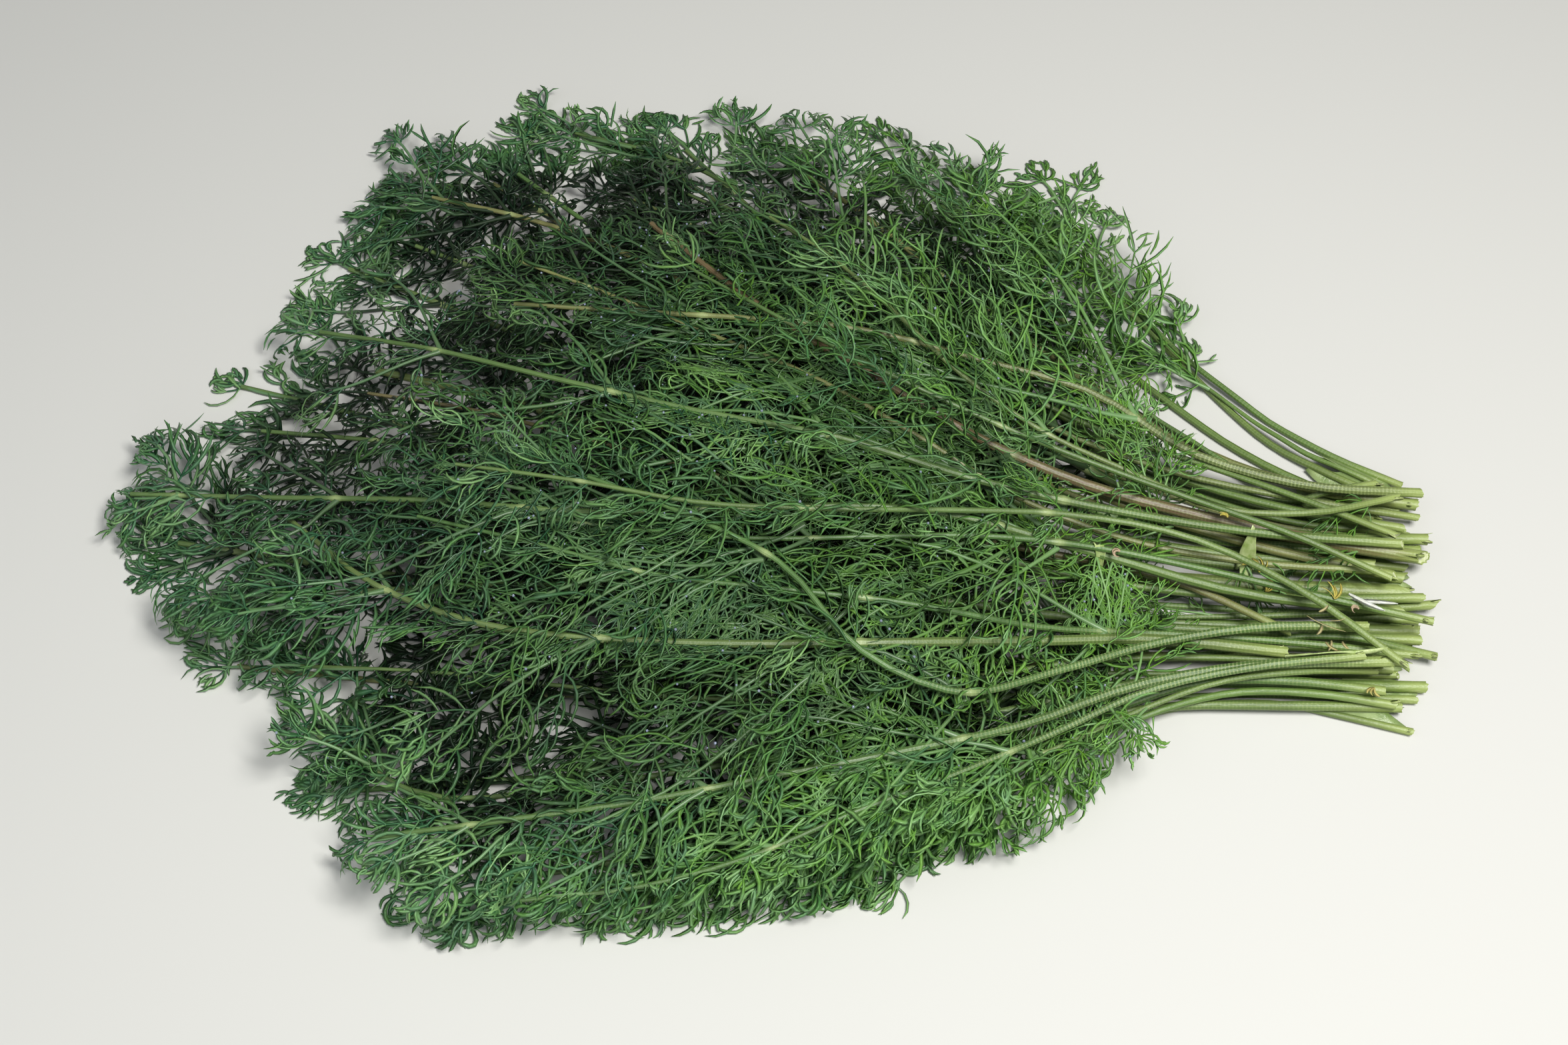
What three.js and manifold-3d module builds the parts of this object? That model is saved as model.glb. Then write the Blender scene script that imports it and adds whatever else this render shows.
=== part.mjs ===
// A bunch of cut dill lying on a table, in millimetres: +Z up, the cut ends towards +X, the feathery tips
// towards -X. Each leafy stem is one solid: a bare lower stalk, and above it opposite pairs of fronds with
// their leaflets. The stems are laid one on another from the table upwards, so none runs through another.
import * as THREE from "three";
import { mergeVertices } from "three/addons/utils/BufferGeometryUtils.js";
import Module from "manifold-3d";

const wasm = await Module();
wasm.setup();

// The bunch is laid out round the middle of its stalks and then moved to have its origin under its own middle
const MIDDLE = { x: 2.4, y: 29.6 };
// How the pile lies
const PILE = {
  height: 44, // top stems over the table in the middle of the foliage
  heightAtCut: 13, // and at the cut ends
  heightAtTips: 14,
  rising: [-175, -60], // it rises over this way from the tips
  falling: [10, 110], // and falls over this one to the stalks
  middleY: 18, // the fan opens further on the far side than on the near side
  halfWidth: 150,
  middleYAtCut: -17,
  halfWidthAtCut: 48,
  narrowing: [20, 150], // the fan closes over this way
};
// The fronds keep within this outline in plan
const OUTLINE = [
  [180, -52], [182, 30], [140, 40], [119, 68], [111, 95], [93, 114], [77, 134], [54, 141], [36, 158],
  [-29, 164], [-78, 162], [-104, 154], [-119, 129], [-134, 103], [-140, 74], [-164, 46], [-172, 12],
  [-155, -20], [-121, -40], [-114, -66], [-98, -86], [-86, -105], [-40, -105], [28, -94], [42, -84],
  [61, -82], [78, -72], [90, -54],
];
const STATIONS = 9; // points along each stem
const CURVE_PARTS = 16; // fine parts that its curve has between two of its given points
const STALK_SIDES = 5;
const TAPER = 0.4; // share of its thickness that a stem loses up to its tip
const GAP = 0.4; // least air between two stems or their fronds
const FLAT = 0.3; // depth of the flat where a stem rests on the table
const STIFFNESS = 1.2; // how far a stem may sag between two of its stations
const SETTLING = 60; // passes allowed for a stem to find its rest on those below
const TABLE = { width: 600, depth: 40 };
const WELD = 1e-4; // points of a solid nearer than this are one

// Stems: points from the cut end to the tip as x, y; share of the pile's height; radius at the cut; colour.
// They are laid down in this order.
const GREEN = "green";
const TAN = "tan";
const STEMS = [
  // On the table
  [[[165, -51], [125, -42], [85, -51], [45, -82]], 0, 0.95, GREEN],
  [[[163, -45], [85, -47], [5, -78], [-70, -94]], 0, 1.3, GREEN],
  [[[170, -38], [80, -38], [-20, -60], [-108, -68]], 0, 1.5, GREEN],
  [[[166, -30], [80, -29], [-40, -40], [-139, -31]], 0, 1.4, TAN],
  [[[171, -21], [80, -17], [-50, -10], [-160, 8]], 0, 1.6, GREEN],
  [[[167, -12], [80, -3], [-40, 30], [-150, 62]], 0, 1.4, GREEN],
  [[[170, -4], [85, 8], [-20, 56], [-124, 106]], 0, 1.5, GREEN],
  [[[168, 4], [90, 20], [0, 78], [-84, 140]], 0, 1.4, TAN],
  [[[170, 12], [106, 30], [30, 90], [-26, 154]], 0, 1.3, GREEN],
  [[[172, 18], [134, 36], [79, 93], [40, 148]], 0, 1.2, GREEN],
  [[[168, 22], [137, 44], [98, 99], [76, 128]], 0, 1.1, GREEN],
  [[[174, 27], [145, 45], [112, 80], [84, 138]], 0, 1.0, GREEN],
  // Low in the pile
  [[[161, -46], [120, -42], [70, -60], [10, -92]], 0.15, 1.1, GREEN],
  [[[158, -43], [110, -40], [60, -60], [-20, -92]], 0.3, 1.2, GREEN],
  [[[162, -34], [105, -36], [20, -60], [-80, -74], [-114, -56]], 0.35, 1.2, GREEN],
  [[[168, -11], [86, -4], [0, 20], [-110, 60]], 0.35, 2.2, GREEN],
  [[[175, 3], [110, 8], [50, 34], [-20, 84], [-76, 140]], 0.35, 1.4, GREEN],
  [[[162, -1], [90, 8], [10, 46], [-104, 110]], 0.3, 1.3, GREEN],
  [[[177, 6], [120, 12], [60, 50], [-36, 146]], 0.4, 1.5, GREEN],
  [[[176, 18], [130, 32], [66, 82], [10, 140]], 0.35, 1.5, TAN],
  [[[170, -26], [100, -22], [0, -18], [-140, -16]], 0.45, 1.3, GREEN],
  [[[172, -14], [100, -12], [0, 8], [-140, 40]], 0.45, 1.2, GREEN],
  [[[154, -34], [90, -33], [0, -50], [-120, -37]], 0.45, 0.9, GREEN],
  // Higher up
  [[[170, 8], [110, 26], [46, 75], [-23, 141], [-60, 160]], 0.5, 1.1, GREEN],
  [[[157, -36], [107, -44], [60, -66], [0, -90]], 0.5, 0.9, GREEN],
  [[[166, -7], [90, 16], [8, 57], [-45, 99], [-100, 126]], 0.6, 1.3, TAN],
  [[[135, -26], [96, -8], [20, 2], [-110, 46]], 0.6, 1.0, TAN],
  [[[176, 14], [120, 22], [64, 47], [-40, 122]], 0.6, 0.95, TAN],
  [[[167, 3], [128, 23], [64, 52], [-24, 122]], 0.7, 0.9, GREEN],
  [[[159, -37], [104, -41], [43, -65], [-38, -82], [-96, -88]], 0.8, 1.3, GREEN],
  [[[152, -37], [100, -45], [49, -71], [-13, -97], [-60, -104]], 0.85, 1.0, GREEN],
  [[[166, -20], [110, -14], [50, -3], [-50, -6], [-119, 7], [-172, 17]], 0.85, 1.3, GREEN],
  [[[134, -32], [91, -31], [19, -42], [-55, -40], [-93, -28], [-126, 2]], 0.85, 1.4, GREEN],
  [[[161, -7], [107, -3], [65, 9], [14, 38], [-70, 86]], 0.8, 0.95, TAN],
  [[[174, -2], [122, 8], [61, 24], [6, 58], [-34, 104]], 0.8, 1.75, TAN],
  [[[177, 20], [127, 23], [84, 48], [1, 58], [-70, 66]], 0.85, 1.2, TAN],
  [[[172, -25], [116, -13], [71, -8], [0, -14], [-60, -8]], 0.85, 1.0, GREEN],
  [[[167, -33], [105, -27], [54, -31], [-25, -26], [-90, -6]], 0.9, 1.0, GREEN],
  [[[168, 0], [115, 3], [43, 11], [-50, 33], [-125, 66]], 0.9, 1.2, GREEN],
  [[[163, -12], [129, 4], [80, 22], [20, 44], [-30, 84]], 0.95, 0.9, GREEN],
  // On top
  [[[155, -26], [110, -30], [69, -45], [33, -54], [0, -22], [-46, 0]], 1, 1.2, GREEN],
  [[[169, 16], [132, 7], [92, 22], [51, 44], [0, 100]], 1, 0.95, TAN],
  [[[163, -40], [120, -8], [71, -1], [3, -11], [-80, 4]], 1.05, 1.0, GREEN],
  // Short ones between the others
  [[[172, -17.2], [120, -13.2], [66, -9]], 0, 1.2, GREEN],
  [[[164, -34], [120, -33.5], [62, -33]], 0, 1.1, GREEN],
  [[[168, -25.6], [120, -25.2], [64, -24]], 0, 1.3, GREEN],
  [[[171, -8], [125, -4.5], [72, 1.6]], 0, 1.1, GREEN],
  [[[171, -0.4], [125, 6.2], [70, 20]], 0, 1.1, GREEN],
  [[[173, 8], [130, 16], [76, 40]], 0, 1.1, TAN],
  [[[166, 15.3], [135, 26], [90, 62]], 0, 1.0, GREEN],
  [[[171, 22.8], [146, 38], [118, 66]], 0, 0.9, GREEN],
  [[[167, -41.5], [120, -39.8], [70, -43]], 0, 1.1, GREEN],
  [[[174, -30], [140, -26], [100, -31]], 0.3, 1.1, GREEN],
  [[[176, -14], [140, -17], [95, -18]], 0.3, 1.2, GREEN],
  [[[172, 10], [140, 14], [100, 30]], 0.3, 1.1, GREEN],
  [[[166, 24], [140, 20], [110, 32]], 0.3, 1.0, GREEN],
];

// Fronds and their leaflets
const LEAFY_FROM = 80; // bare stalk, from the cut end to the first pair of fronds at the least
const LEAFY_SPREAD = 38; // and at the most this much more
const NODE_STEP = 72; // gap between two pairs of fronds, times
const NODE_SHRINK = 0.9; // this, and once more for each further gap
const LAST_NODE = 8; // no fronds nearer to the tip
const FROND_LENGTH = 70;
const SHORTER_FROM = 0.3; // past this share of a stem its fronds get shorter
const SHORTER_BY = 0.6; // by this much at the tip
const FROND_WIDTH = 0.9;
const FROND_ROOT_WIDTH = 0.5; // narrower where it is sunk in the stalk
const FROND_THICKNESS = 0.62;
const FROND_ROOM = 0.64; // half of the way that a rib or leaflet needs for itself
const LONG_FROND = 60; // a longer frond has two pairs of leaflets, a shorter one has one
const LEAFLETS_LONG = [0.36, 0.64]; // places of the pairs along the frond
const LEAFLETS_SHORT = [0.5];
const LEAFLET_SPREAD = 46; // degrees between a leaflet and its frond
const LEAFLET_BASE = [-0.45, 0.72]; // from where to where it joins the rib, about its place
const LEAFLET_SHARE = 0.34; // its length as a share of the frond's, times
const LEAFLETS_END = 1.3; // its distance from this share of the frond
const SWEEP = 0.2; // fronds bend back along their stem
// Drawn for each frond: the least and the range over it
const LENGTHS = [0.82, 0.36]; // shares of the length at its place
const AWAY = [32, 22]; // degrees from the stem
const TILT = [-4, 22]; // degrees up
const DROOP = [0.05, 0.15]; // how far it sags, as a share of its length
const TURNS = [0, 8, -8, 16, -16, 24, -24, 34, -34, 46, -46]; // tries at a clear way, in degrees
const SHORTENINGS = [1, 0.8, 0.62, 0.45]; // and shorter where there is little room
const SPREADS = [1, 0.7, 1.35];
const ROOT_ROOM = 6; // a frond or leaflet is clear of its own stem from this far out
const FLUFF = 9; // fronds rise this far over the pile of stems at most
const FLOOR_GAP = 0.9; // fronds lie this far over the table or higher
const SEED = 7001; // of the draws of the first stem, and each further stem's is this much more
const SEED_STEP = 13;
const DEGREE = Math.PI / 180;

// Mulberry: a small seeded random draw, the same on every machine
function draws(seed) {
  let state = seed >>> 0;
  return () => {
    state = (state + 0x6d2b79f5) >>> 0;
    let t = Math.imul(state ^ (state >>> 15), 1 | state);
    t = (t + Math.imul(t ^ (t >>> 7), 61 | t)) ^ t;
    return ((t ^ (t >>> 14)) >>> 0) / 4294967296;
  };
}

function ease(x, from, to) {
  const t = Math.min(1, Math.max(0, (x - from) / (to - from)));
  return t * t * (3 - 2 * t);
}

// Height of the top of the pile over the table at a place
function pileHeight(x, y) {
  const rise = ease(x, ...PILE.rising) * (1 - ease(x, ...PILE.falling));
  const ends = x > 0 ? PILE.heightAtCut : PILE.heightAtTips;
  const ridge = ends + (PILE.height - ends) * rise;
  const fan = 1 - ease(x, ...PILE.narrowing);
  const half = PILE.halfWidthAtCut + (PILE.halfWidth - PILE.halfWidthAtCut) * fan;
  const middle = PILE.middleYAtCut + (PILE.middleY - PILE.middleYAtCut) * fan;
  const q = Math.min(1, Math.abs(y - middle) / half);
  return ridge * (1 - q * q);
}

// A place is inside where a line from it towards +X crosses the outline an odd number of times
function isInOutline(x, y) {
  const crossed = OUTLINE.filter(([x1, y1], i) => {
    const [x2, y2] = OUTLINE[(i + 1) % OUTLINE.length];
    return y1 > y !== y2 > y && x < x1 + ((x2 - x1) * (y - y1)) / (y2 - y1);
  });
  return crossed.length % 2 === 1;
}

// A smooth line through the given points, cut into equal steps
function smoothLine(points, count) {
  const n = points.length;
  const at = (i) => {
    if (i < 0) return points[0].map((c, k) => 2 * c - points[1][k]);
    if (i >= n) return points[n - 1].map((c, k) => 2 * c - points[n - 2][k]);
    return points[i];
  };
  const fine = [];
  for (let i = 0; i < n - 1; i++) {
    const [a, b, c, d] = [at(i - 1), at(i), at(i + 1), at(i + 2)];
    for (let j = 0; j < CURVE_PARTS + (i === n - 2 ? 1 : 0); j++) {
      const t = j / CURVE_PARTS;
      fine.push(b.map((_, k) =>
        0.5 * (2 * b[k] + (c[k] - a[k]) * t + (2 * a[k] - 5 * b[k] + 4 * c[k] - d[k]) * t * t
          + (3 * b[k] - a[k] - 3 * c[k] + d[k]) * t * t * t)));
    }
  }
  const run = [0];
  for (let i = 1; i < fine.length; i++)
    run.push(run[i - 1] + Math.hypot(fine[i][0] - fine[i - 1][0], fine[i][1] - fine[i - 1][1]));
  const total = run[run.length - 1];
  const line = [];
  for (let i = 0, k = 0; i < count; i++) {
    const want = (total * i) / (count - 1);
    while (k < run.length - 2 && run[k + 1] < want) k++;
    const t = (want - run[k]) / (run[k + 1] - run[k]);
    line.push(fine[k].map((c, m) => c + (fine[k + 1][m] - c) * t));
  }
  return line;
}

// Least distance between two straight pieces
function pieceDistance(p, q, r, s) {
  const d1 = [q[0] - p[0], q[1] - p[1], q[2] - p[2]];
  const d2 = [s[0] - r[0], s[1] - r[1], s[2] - r[2]];
  const w = [p[0] - r[0], p[1] - r[1], p[2] - r[2]];
  const dot = (a, b) => a[0] * b[0] + a[1] * b[1] + a[2] * b[2];
  const a = dot(d1, d1);
  const b = dot(d1, d2);
  const c = dot(d1, w);
  const e = dot(d2, d2);
  const f = dot(d2, w);
  const limit = (v) => Math.min(1, Math.max(0, v));
  const det = a * e - b * b;
  let u = det > 1e-9 ? limit((b * f - c * e) / det) : 0;
  let v = (b * u + f) / e;
  if (v < 0) {
    v = 0;
    u = limit(-c / a);
  } else if (v > 1) {
    v = 1;
    u = limit((b - c) / a);
  }
  const x = [0, 1, 2].map((k) => w[k] + d1[k] * u - d2[k] * v);
  return Math.sqrt(dot(x, x));
}

// Everything laid so far: straight pieces, each with a radius and the stem it belongs to
const laid = [];
function lay(owner, line, radii) {
  for (let i = 0; i + 1 < line.length; i++)
    laid.push([owner, line[i], line[i + 1], Math.max(radii[i], radii[i + 1])]);
}

// How much room a straight piece lacks to what is laid near it. It grows out of its own stem, so it need only
// be clear of that a little way from its root.
function lackOfRoom(owner, start, q, radius) {
  const out = Math.min(1, ROOT_ROOM / Math.hypot(q[0] - start[0], q[1] - start[1], q[2] - start[2]));
  const away = start.map((c, k) => c + (q[k] - c) * out);
  let lack = 0;
  for (const [other, a, b, r] of laid) {
    const p = other === owner ? away : start;
    const need = radius + r + GAP;
    const isFar = [0, 1].some((k) =>
      Math.min(a[k], b[k]) - need > Math.max(p[k], q[k])
      || Math.max(a[k], b[k]) + need < Math.min(p[k], q[k]));
    if (!isFar) lack = Math.max(lack, need - pieceDistance(p, q, a, b));
  }
  return lack;
}

function isClear(owner, line, radii) {
  for (let i = 0; i + 1 < line.length; i++)
    if (lackOfRoom(owner, line[i], line[i + 1], Math.max(radii[i], radii[i + 1])) > 0) return false;
  return true;
}

// Lays the stems down in order: each lies on the table or at its share of the pile's height, and is lifted
// off those already laid until it is clear of them
function layStem([points, share, radius, colour], index) {
  const radii = Array.from({ length: STATIONS }, (_, i) => radius * (1 - (TAPER * i) / (STATIONS - 1)));
  const line = smoothLine(points, STATIONS).map(([x, y], i) => {
    const floor = radii[i] - FLAT;
    return [x, y, floor + share * Math.max(0, pileHeight(x, y) - 2 * radii[i])];
  });
  for (let pass = 0; pass < SETTLING; pass++) {
    const lift = radii.map(() => 0);
    for (let i = 0; i + 1 < STATIONS; i++) {
      const lack = lackOfRoom(index, line[i], line[i + 1], Math.max(radii[i], radii[i + 1]));
      lift[i] = Math.max(lift[i], lack);
      lift[i + 1] = Math.max(lift[i + 1], lack);
    }
    if (Math.max(...lift) === 0) break;
    line.forEach((p, i) => (p[2] += lift[i]));
    for (let i = 1; i + 1 < STATIONS; i++)
      line[i][2] = Math.max(line[i][2], (line[i - 1][2] + line[i + 1][2]) / 2 - STIFFNESS);
  }
  lay(index, line, radii);
  return { index, colour, line, radii };
}

const vec = (p) => new THREE.Vector3(...p);
const UP = new THREE.Vector3(0, 0, 1);

// The ways along, to the side of and up from a direction
function frameOf(direction) {
  const along = direction.clone().normalize();
  const side = UP.clone().cross(along).normalize();
  return { along, side, up: along.clone().cross(side) };
}

// Place and frame on a stem at a share of its length
function stationOf(line, share) {
  const f = share * (line.length - 1);
  const k = Math.min(line.length - 2, Math.floor(f));
  const [a, b] = [vec(line[k]), vec(line[k + 1])];
  return { root: a.clone().lerp(b, f - k), ...frameOf(b.clone().sub(a)) };
}

// A point of a frond: `s` along its rib, `w` to the side of it and `t` up from it. The rib arches over.
function frondPoint(frond, s, w, t) {
  const arch = frond.length * (s / frond.length) ** 2;
  const p = frond.root.clone()
    .addScaledVector(frond.along, s)
    .addScaledVector(frond.side, w)
    .addScaledVector(frond.up, t)
    .addScaledVector(frond.bend, arch);
  return [p.x, p.y, Math.max(FLOOR_GAP + t, p.z)];
}

// The middle lines of a frond's rib and of one of its leaflets
function leafletPlaces(frond) {
  return frond.length > LONG_FROND ? LEAFLETS_LONG : LEAFLETS_SHORT;
}
function ribLine(frond) {
  return [0, ...leafletPlaces(frond), 1].map((share) => frondPoint(frond, share * frond.length, 0, 0));
}
// Tip of a leaflet as its way along the frond and to the side
function leafletTip({ at, hand, length }) {
  return [at + length * Math.cos(LEAFLET_SPREAD * DEGREE), hand * length * Math.sin(LEAFLET_SPREAD * DEGREE)];
}
function leafletLine(frond, leaflet) {
  return [frondPoint(frond, leaflet.at, 0, 0), frondPoint(frond, ...leafletTip(leaflet), 0)];
}

function isRoomFor(owner, line) {
  return isClear(owner, line, line.map(() => FROND_ROOM));
}
function layAll(owner, line) {
  lay(owner, line, line.map(() => FROND_ROOM));
}

// One frond: the first try that is clear of all that is laid, and not too high over the pile
function growFrond(stem, station, hand, length, spread, tilt, droop) {
  for (const shortening of SHORTENINGS)
    for (const widening of SPREADS)
      for (const turn of TURNS) {
        const away = spread * widening * DEGREE;
        const rise = (tilt + turn) * DEGREE;
        const way = station.along.clone().multiplyScalar(Math.cos(away))
          .addScaledVector(station.side, hand * Math.sin(away) * Math.cos(rise))
          .addScaledVector(station.up, Math.sin(away) * Math.sin(rise));
        const bend = new THREE.Vector3(0, 0, -droop).addScaledVector(station.along, SWEEP);
        const frond = { root: station.root, length: length * shortening, bend, ...frameOf(way) };
        const line = ribLine(frond);
        const [x, y, z] = line[line.length - 1];
        const top = Math.max(station.root.z, pileHeight(x, y)) + FLUFF;
        if (z < top && isInOutline(x, y) && isRoomFor(stem.index, line)) return frond;
      }
  return null;
}

// Leaflets of a frond in opposite pairs; one with little room is shorter, and one with none is left out
function growLeaflets(stem, frond) {
  frond.leaflets = [];
  leafletPlaces(frond).forEach((share, pair) => {
    for (const hand of [-1, 1]) {
      const at = share * frond.length;
      const reach = frond.length * LEAFLET_SHARE * (LEAFLETS_END - share);
      const tries = SHORTENINGS.map((part) => ({ pair, at, hand, length: reach * part }));
      const leaflet = tries.find((one) => isRoomFor(stem.index, leafletLine(frond, one)));
      if (!leaflet) continue;
      layAll(stem.index, leafletLine(frond, leaflet));
      frond.leaflets.push(leaflet);
    }
  });
}

// Fronds of one stem: opposite pairs, closer and shorter towards the tip
function growFronds(stem) {
  const random = draws(SEED + SEED_STEP * stem.index);
  const draw = ([least, range]) => least + range * random();
  let total = 0;
  for (let i = 1; i < STATIONS; i++) total += vec(stem.line[i]).distanceTo(vec(stem.line[i - 1]));
  stem.fronds = [];
  let step = NODE_STEP;
  for (let at = LEAFY_FROM + LEAFY_SPREAD * random(); at < total - LAST_NODE; at += step) {
    const share = at / total;
    const station = stationOf(stem.line, share);
    const reach = FROND_LENGTH * (1 - SHORTER_BY * ease(share, SHORTER_FROM, 1));
    for (const hand of [-1, 1]) {
      const length = reach * draw(LENGTHS);
      const spread = draw(AWAY);
      const tilt = draw(TILT);
      const droop = draw(DROOP);
      const frond = growFrond(stem, station, hand, length, spread, tilt, droop);
      if (!frond) continue;
      layAll(stem.index, ribLine(frond));
      stem.fronds.push(frond);
    }
    step *= NODE_SHRINK;
  }
}

// A frond as one thin arched blade, cut to the rib between its leaflets
function frondBlade(frond) {
  const half = FROND_WIDTH / 2;
  const flat = [[0, FROND_ROOT_WIDTH / 2], [0, -FROND_ROOT_WIDTH / 2]];
  const faces = [];
  const ribTo = (s) => {
    const k = flat.length - 2;
    flat.push([s, half], [s, -half]);
    faces.push([k, k + 1, k + 3], [k, k + 3, k + 2]);
  };
  for (const share of leafletPlaces(frond)) {
    ribTo(share * frond.length + LEAFLET_BASE[0]);
    ribTo(share * frond.length + LEAFLET_BASE[1]);
  }
  faces.push([flat.length - 2, flat.length - 1, flat.length]);
  flat.push([frond.length, 0]);
  for (const leaflet of frond.leaflets) {
    const k = (leaflet.hand > 0 ? 2 : 3) + 4 * leaflet.pair;
    faces.push(leaflet.hand > 0 ? [k, k + 2, flat.length] : [k + 2, k, flat.length]);
    flat.push(leafletTip(leaflet));
  }
  const face = (t) => flat.map(([s, w]) => frondPoint(frond, s, w, t));
  return thicken(face(-FROND_THICKNESS / 2), face(FROND_THICKNESS / 2), faces);
}

// A closed blade from its points underneath and on top and the triangles between them, which both faces share
function thicken(lower, upper, faces) {
  const n = lower.length;
  const edges = faces.flatMap(([a, b, c]) => [[a, b], [b, c], [c, a]]);
  const rim = edges.filter(([a, b]) => !edges.some(([c, d]) => c === b && d === a));
  const under = faces.map(([a, b, c]) => [c, b, a]);
  const over = faces.map((face) => face.map((k) => k + n));
  const walls = rim.flatMap(([a, b]) => [[a, b, b + n], [a, b + n, a + n]]);
  return new THREE.BufferGeometry()
    .setAttribute("position", new THREE.Float32BufferAttribute([...lower, ...upper].flat(), 3))
    .setIndex([...under, ...over, ...walls].flat());
}

// A stalk: a cylinder bent along its line, with one edge down
function stalkBar(line, radii) {
  const rings = line.length - 1;
  const bar = new THREE.CylinderGeometry(1, 1, rings, STALK_SIDES, rings);
  const position = bar.getAttribute("position");
  const frames = line.map((_, i) => stationOf(line, i / rings));
  for (let i = 0; i < position.count; i++) {
    const ring = Math.round(position.getY(i) + rings / 2);
    const p = vec(line[ring])
      .addScaledVector(frames[ring].side, radii[ring] * position.getX(i))
      .addScaledVector(frames[ring].up, -radii[ring] * position.getZ(i));
    position.setXYZ(i, p.x, p.y, p.z);
  }
  return bar;
}

function solidOf(geometry) {
  const plain = geometry.clone();
  plain.deleteAttribute("normal");
  plain.deleteAttribute("uv");
  const merged = mergeVertices(plain, WELD);
  return new wasm.Manifold(new wasm.Mesh({
    numProp: 3,
    vertProperties: merged.getAttribute("position").array,
    triVerts: new Uint32Array(merged.index.array),
  }));
}

function geometryOf(solid) {
  const mesh = solid.getMesh();
  return new THREE.BufferGeometry()
    .setAttribute("position", new THREE.BufferAttribute(mesh.vertProperties, 3))
    .setIndex(new THREE.BufferAttribute(mesh.triVerts, 1));
}

// The table top, as a block under the bunch that flattens what would sink into it
function tableBlock() {
  const block = new THREE.BoxGeometry(TABLE.width, TABLE.width, TABLE.depth);
  block.translate(0, 0, -TABLE.depth / 2);
  return solidOf(block);
}

const COLOURS = {
  [GREEN]: new THREE.MeshStandardMaterial({ color: 0x5f8f45, roughness: 0.55, metalness: 0 }),
  [TAN]: new THREE.MeshStandardMaterial({ color: 0x7d8a52, roughness: 0.55, metalness: 0 }),
};

const stems = STEMS.map(layStem);
stems.forEach(growFronds);
stems.forEach((stem) => stem.fronds.forEach((frond) => growLeaflets(stem, frond)));

const table = tableBlock();
const bunch = new THREE.Group();
bunch.position.set(-MIDDLE.x, -MIDDLE.y, 0);
for (const stem of stems) {
  const stalk = solidOf(stalkBar(stem.line, stem.radii));
  const fronds = stem.fronds.map((frond) => solidOf(frondBlade(frond)));
  const solid = wasm.Manifold.union([stalk, ...fronds]).subtract(table);
  const mesh = new THREE.Mesh(geometryOf(solid), COLOURS[stem.colour]);
  mesh.name = `leafy_stem_${String(stem.index + 1).padStart(2, "0")}`;
  bunch.add(mesh);
}

export default bunch;
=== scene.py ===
# A loose bunch of cut dill lying on its side: ribbed stalks close together at the cut ends, which fan out
# into a mound of feathery fronds. The plan is in millimetres, and MM brings it to metres in the meshes.
import math
from functools import partial
import bmesh
import bpy
import numpy as np
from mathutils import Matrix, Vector


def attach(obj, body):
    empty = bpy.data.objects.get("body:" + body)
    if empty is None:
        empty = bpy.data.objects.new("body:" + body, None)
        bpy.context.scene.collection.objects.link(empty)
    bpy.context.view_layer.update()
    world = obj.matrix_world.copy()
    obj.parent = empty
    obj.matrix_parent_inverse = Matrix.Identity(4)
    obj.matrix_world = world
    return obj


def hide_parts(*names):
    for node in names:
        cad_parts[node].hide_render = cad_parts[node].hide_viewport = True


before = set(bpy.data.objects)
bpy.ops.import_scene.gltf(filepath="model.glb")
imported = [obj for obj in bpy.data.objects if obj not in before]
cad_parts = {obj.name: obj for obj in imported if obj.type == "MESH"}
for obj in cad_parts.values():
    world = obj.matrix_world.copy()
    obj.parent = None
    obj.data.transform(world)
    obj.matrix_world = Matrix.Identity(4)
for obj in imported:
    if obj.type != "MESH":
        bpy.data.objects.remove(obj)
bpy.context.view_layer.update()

MM = 0.001

# Camera, floor and lights
# The camera looks down on the bunch from its near side, with the cut ends on the right. The floor is plain
# and pale, and soft light comes from above, stronger on the side of the cut ends.
CAMERA_TARGET = Vector((1.6, -29.6, 22)) * MM
CAMERA_DISTANCE = 627 * MM
CAMERA_ELEVATION = math.radians(55)
CAMERA_LENS = 55
FLOOR_COLOUR = (0.62, 0.62, 0.6, 1)
FLOOR_HALF_WIDTH = 30
FLOOR_DROP = 0.3 * MM
WORLD_COLOUR = (0.93, 0.96, 1, 1)
WORLD_STRENGTH = 0.135

camera = bpy.data.objects.new("camera", bpy.data.cameras.new("camera"))
camera.data.lens = CAMERA_LENS
camera.data.sensor_width = 36
camera.data.clip_start = 0.01
away = Vector((0, -math.cos(CAMERA_ELEVATION), math.sin(CAMERA_ELEVATION)))
camera.location = CAMERA_TARGET + away * CAMERA_DISTANCE
camera.rotation_euler = (-away).to_track_quat("-Z", "Y").to_euler()
bpy.context.scene.collection.objects.link(camera)
bpy.context.scene.camera = camera
bpy.context.scene.view_settings.view_transform = "Standard"


def plain_material(name, colour, roughness):
    material = bpy.data.materials.new(name)
    material.use_nodes = True
    shader = material.node_tree.nodes["Principled BSDF"]
    shader.inputs["Base Color"].default_value = colour
    shader.inputs["Roughness"].default_value = roughness
    return material


floor_mesh = bpy.data.meshes.new("floor")
half, level = FLOOR_HALF_WIDTH, -FLOOR_DROP
corners = [(-half, -half, level), (half, -half, level), (half, half, level), (-half, half, level)]
floor_mesh.from_pydata(corners, [], [(0, 1, 2, 3)])
floor = bpy.data.objects.new("floor", floor_mesh)
floor_mesh.materials.append(plain_material("floor_paper", FLOOR_COLOUR, 0.9))
bpy.context.scene.collection.objects.link(floor)

world = bpy.data.worlds.new("studio")
world.use_nodes = True
world.node_tree.nodes["Background"].inputs["Color"].default_value = WORLD_COLOUR
world.node_tree.nodes["Background"].inputs["Strength"].default_value = WORLD_STRENGTH
bpy.context.scene.world = world

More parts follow.
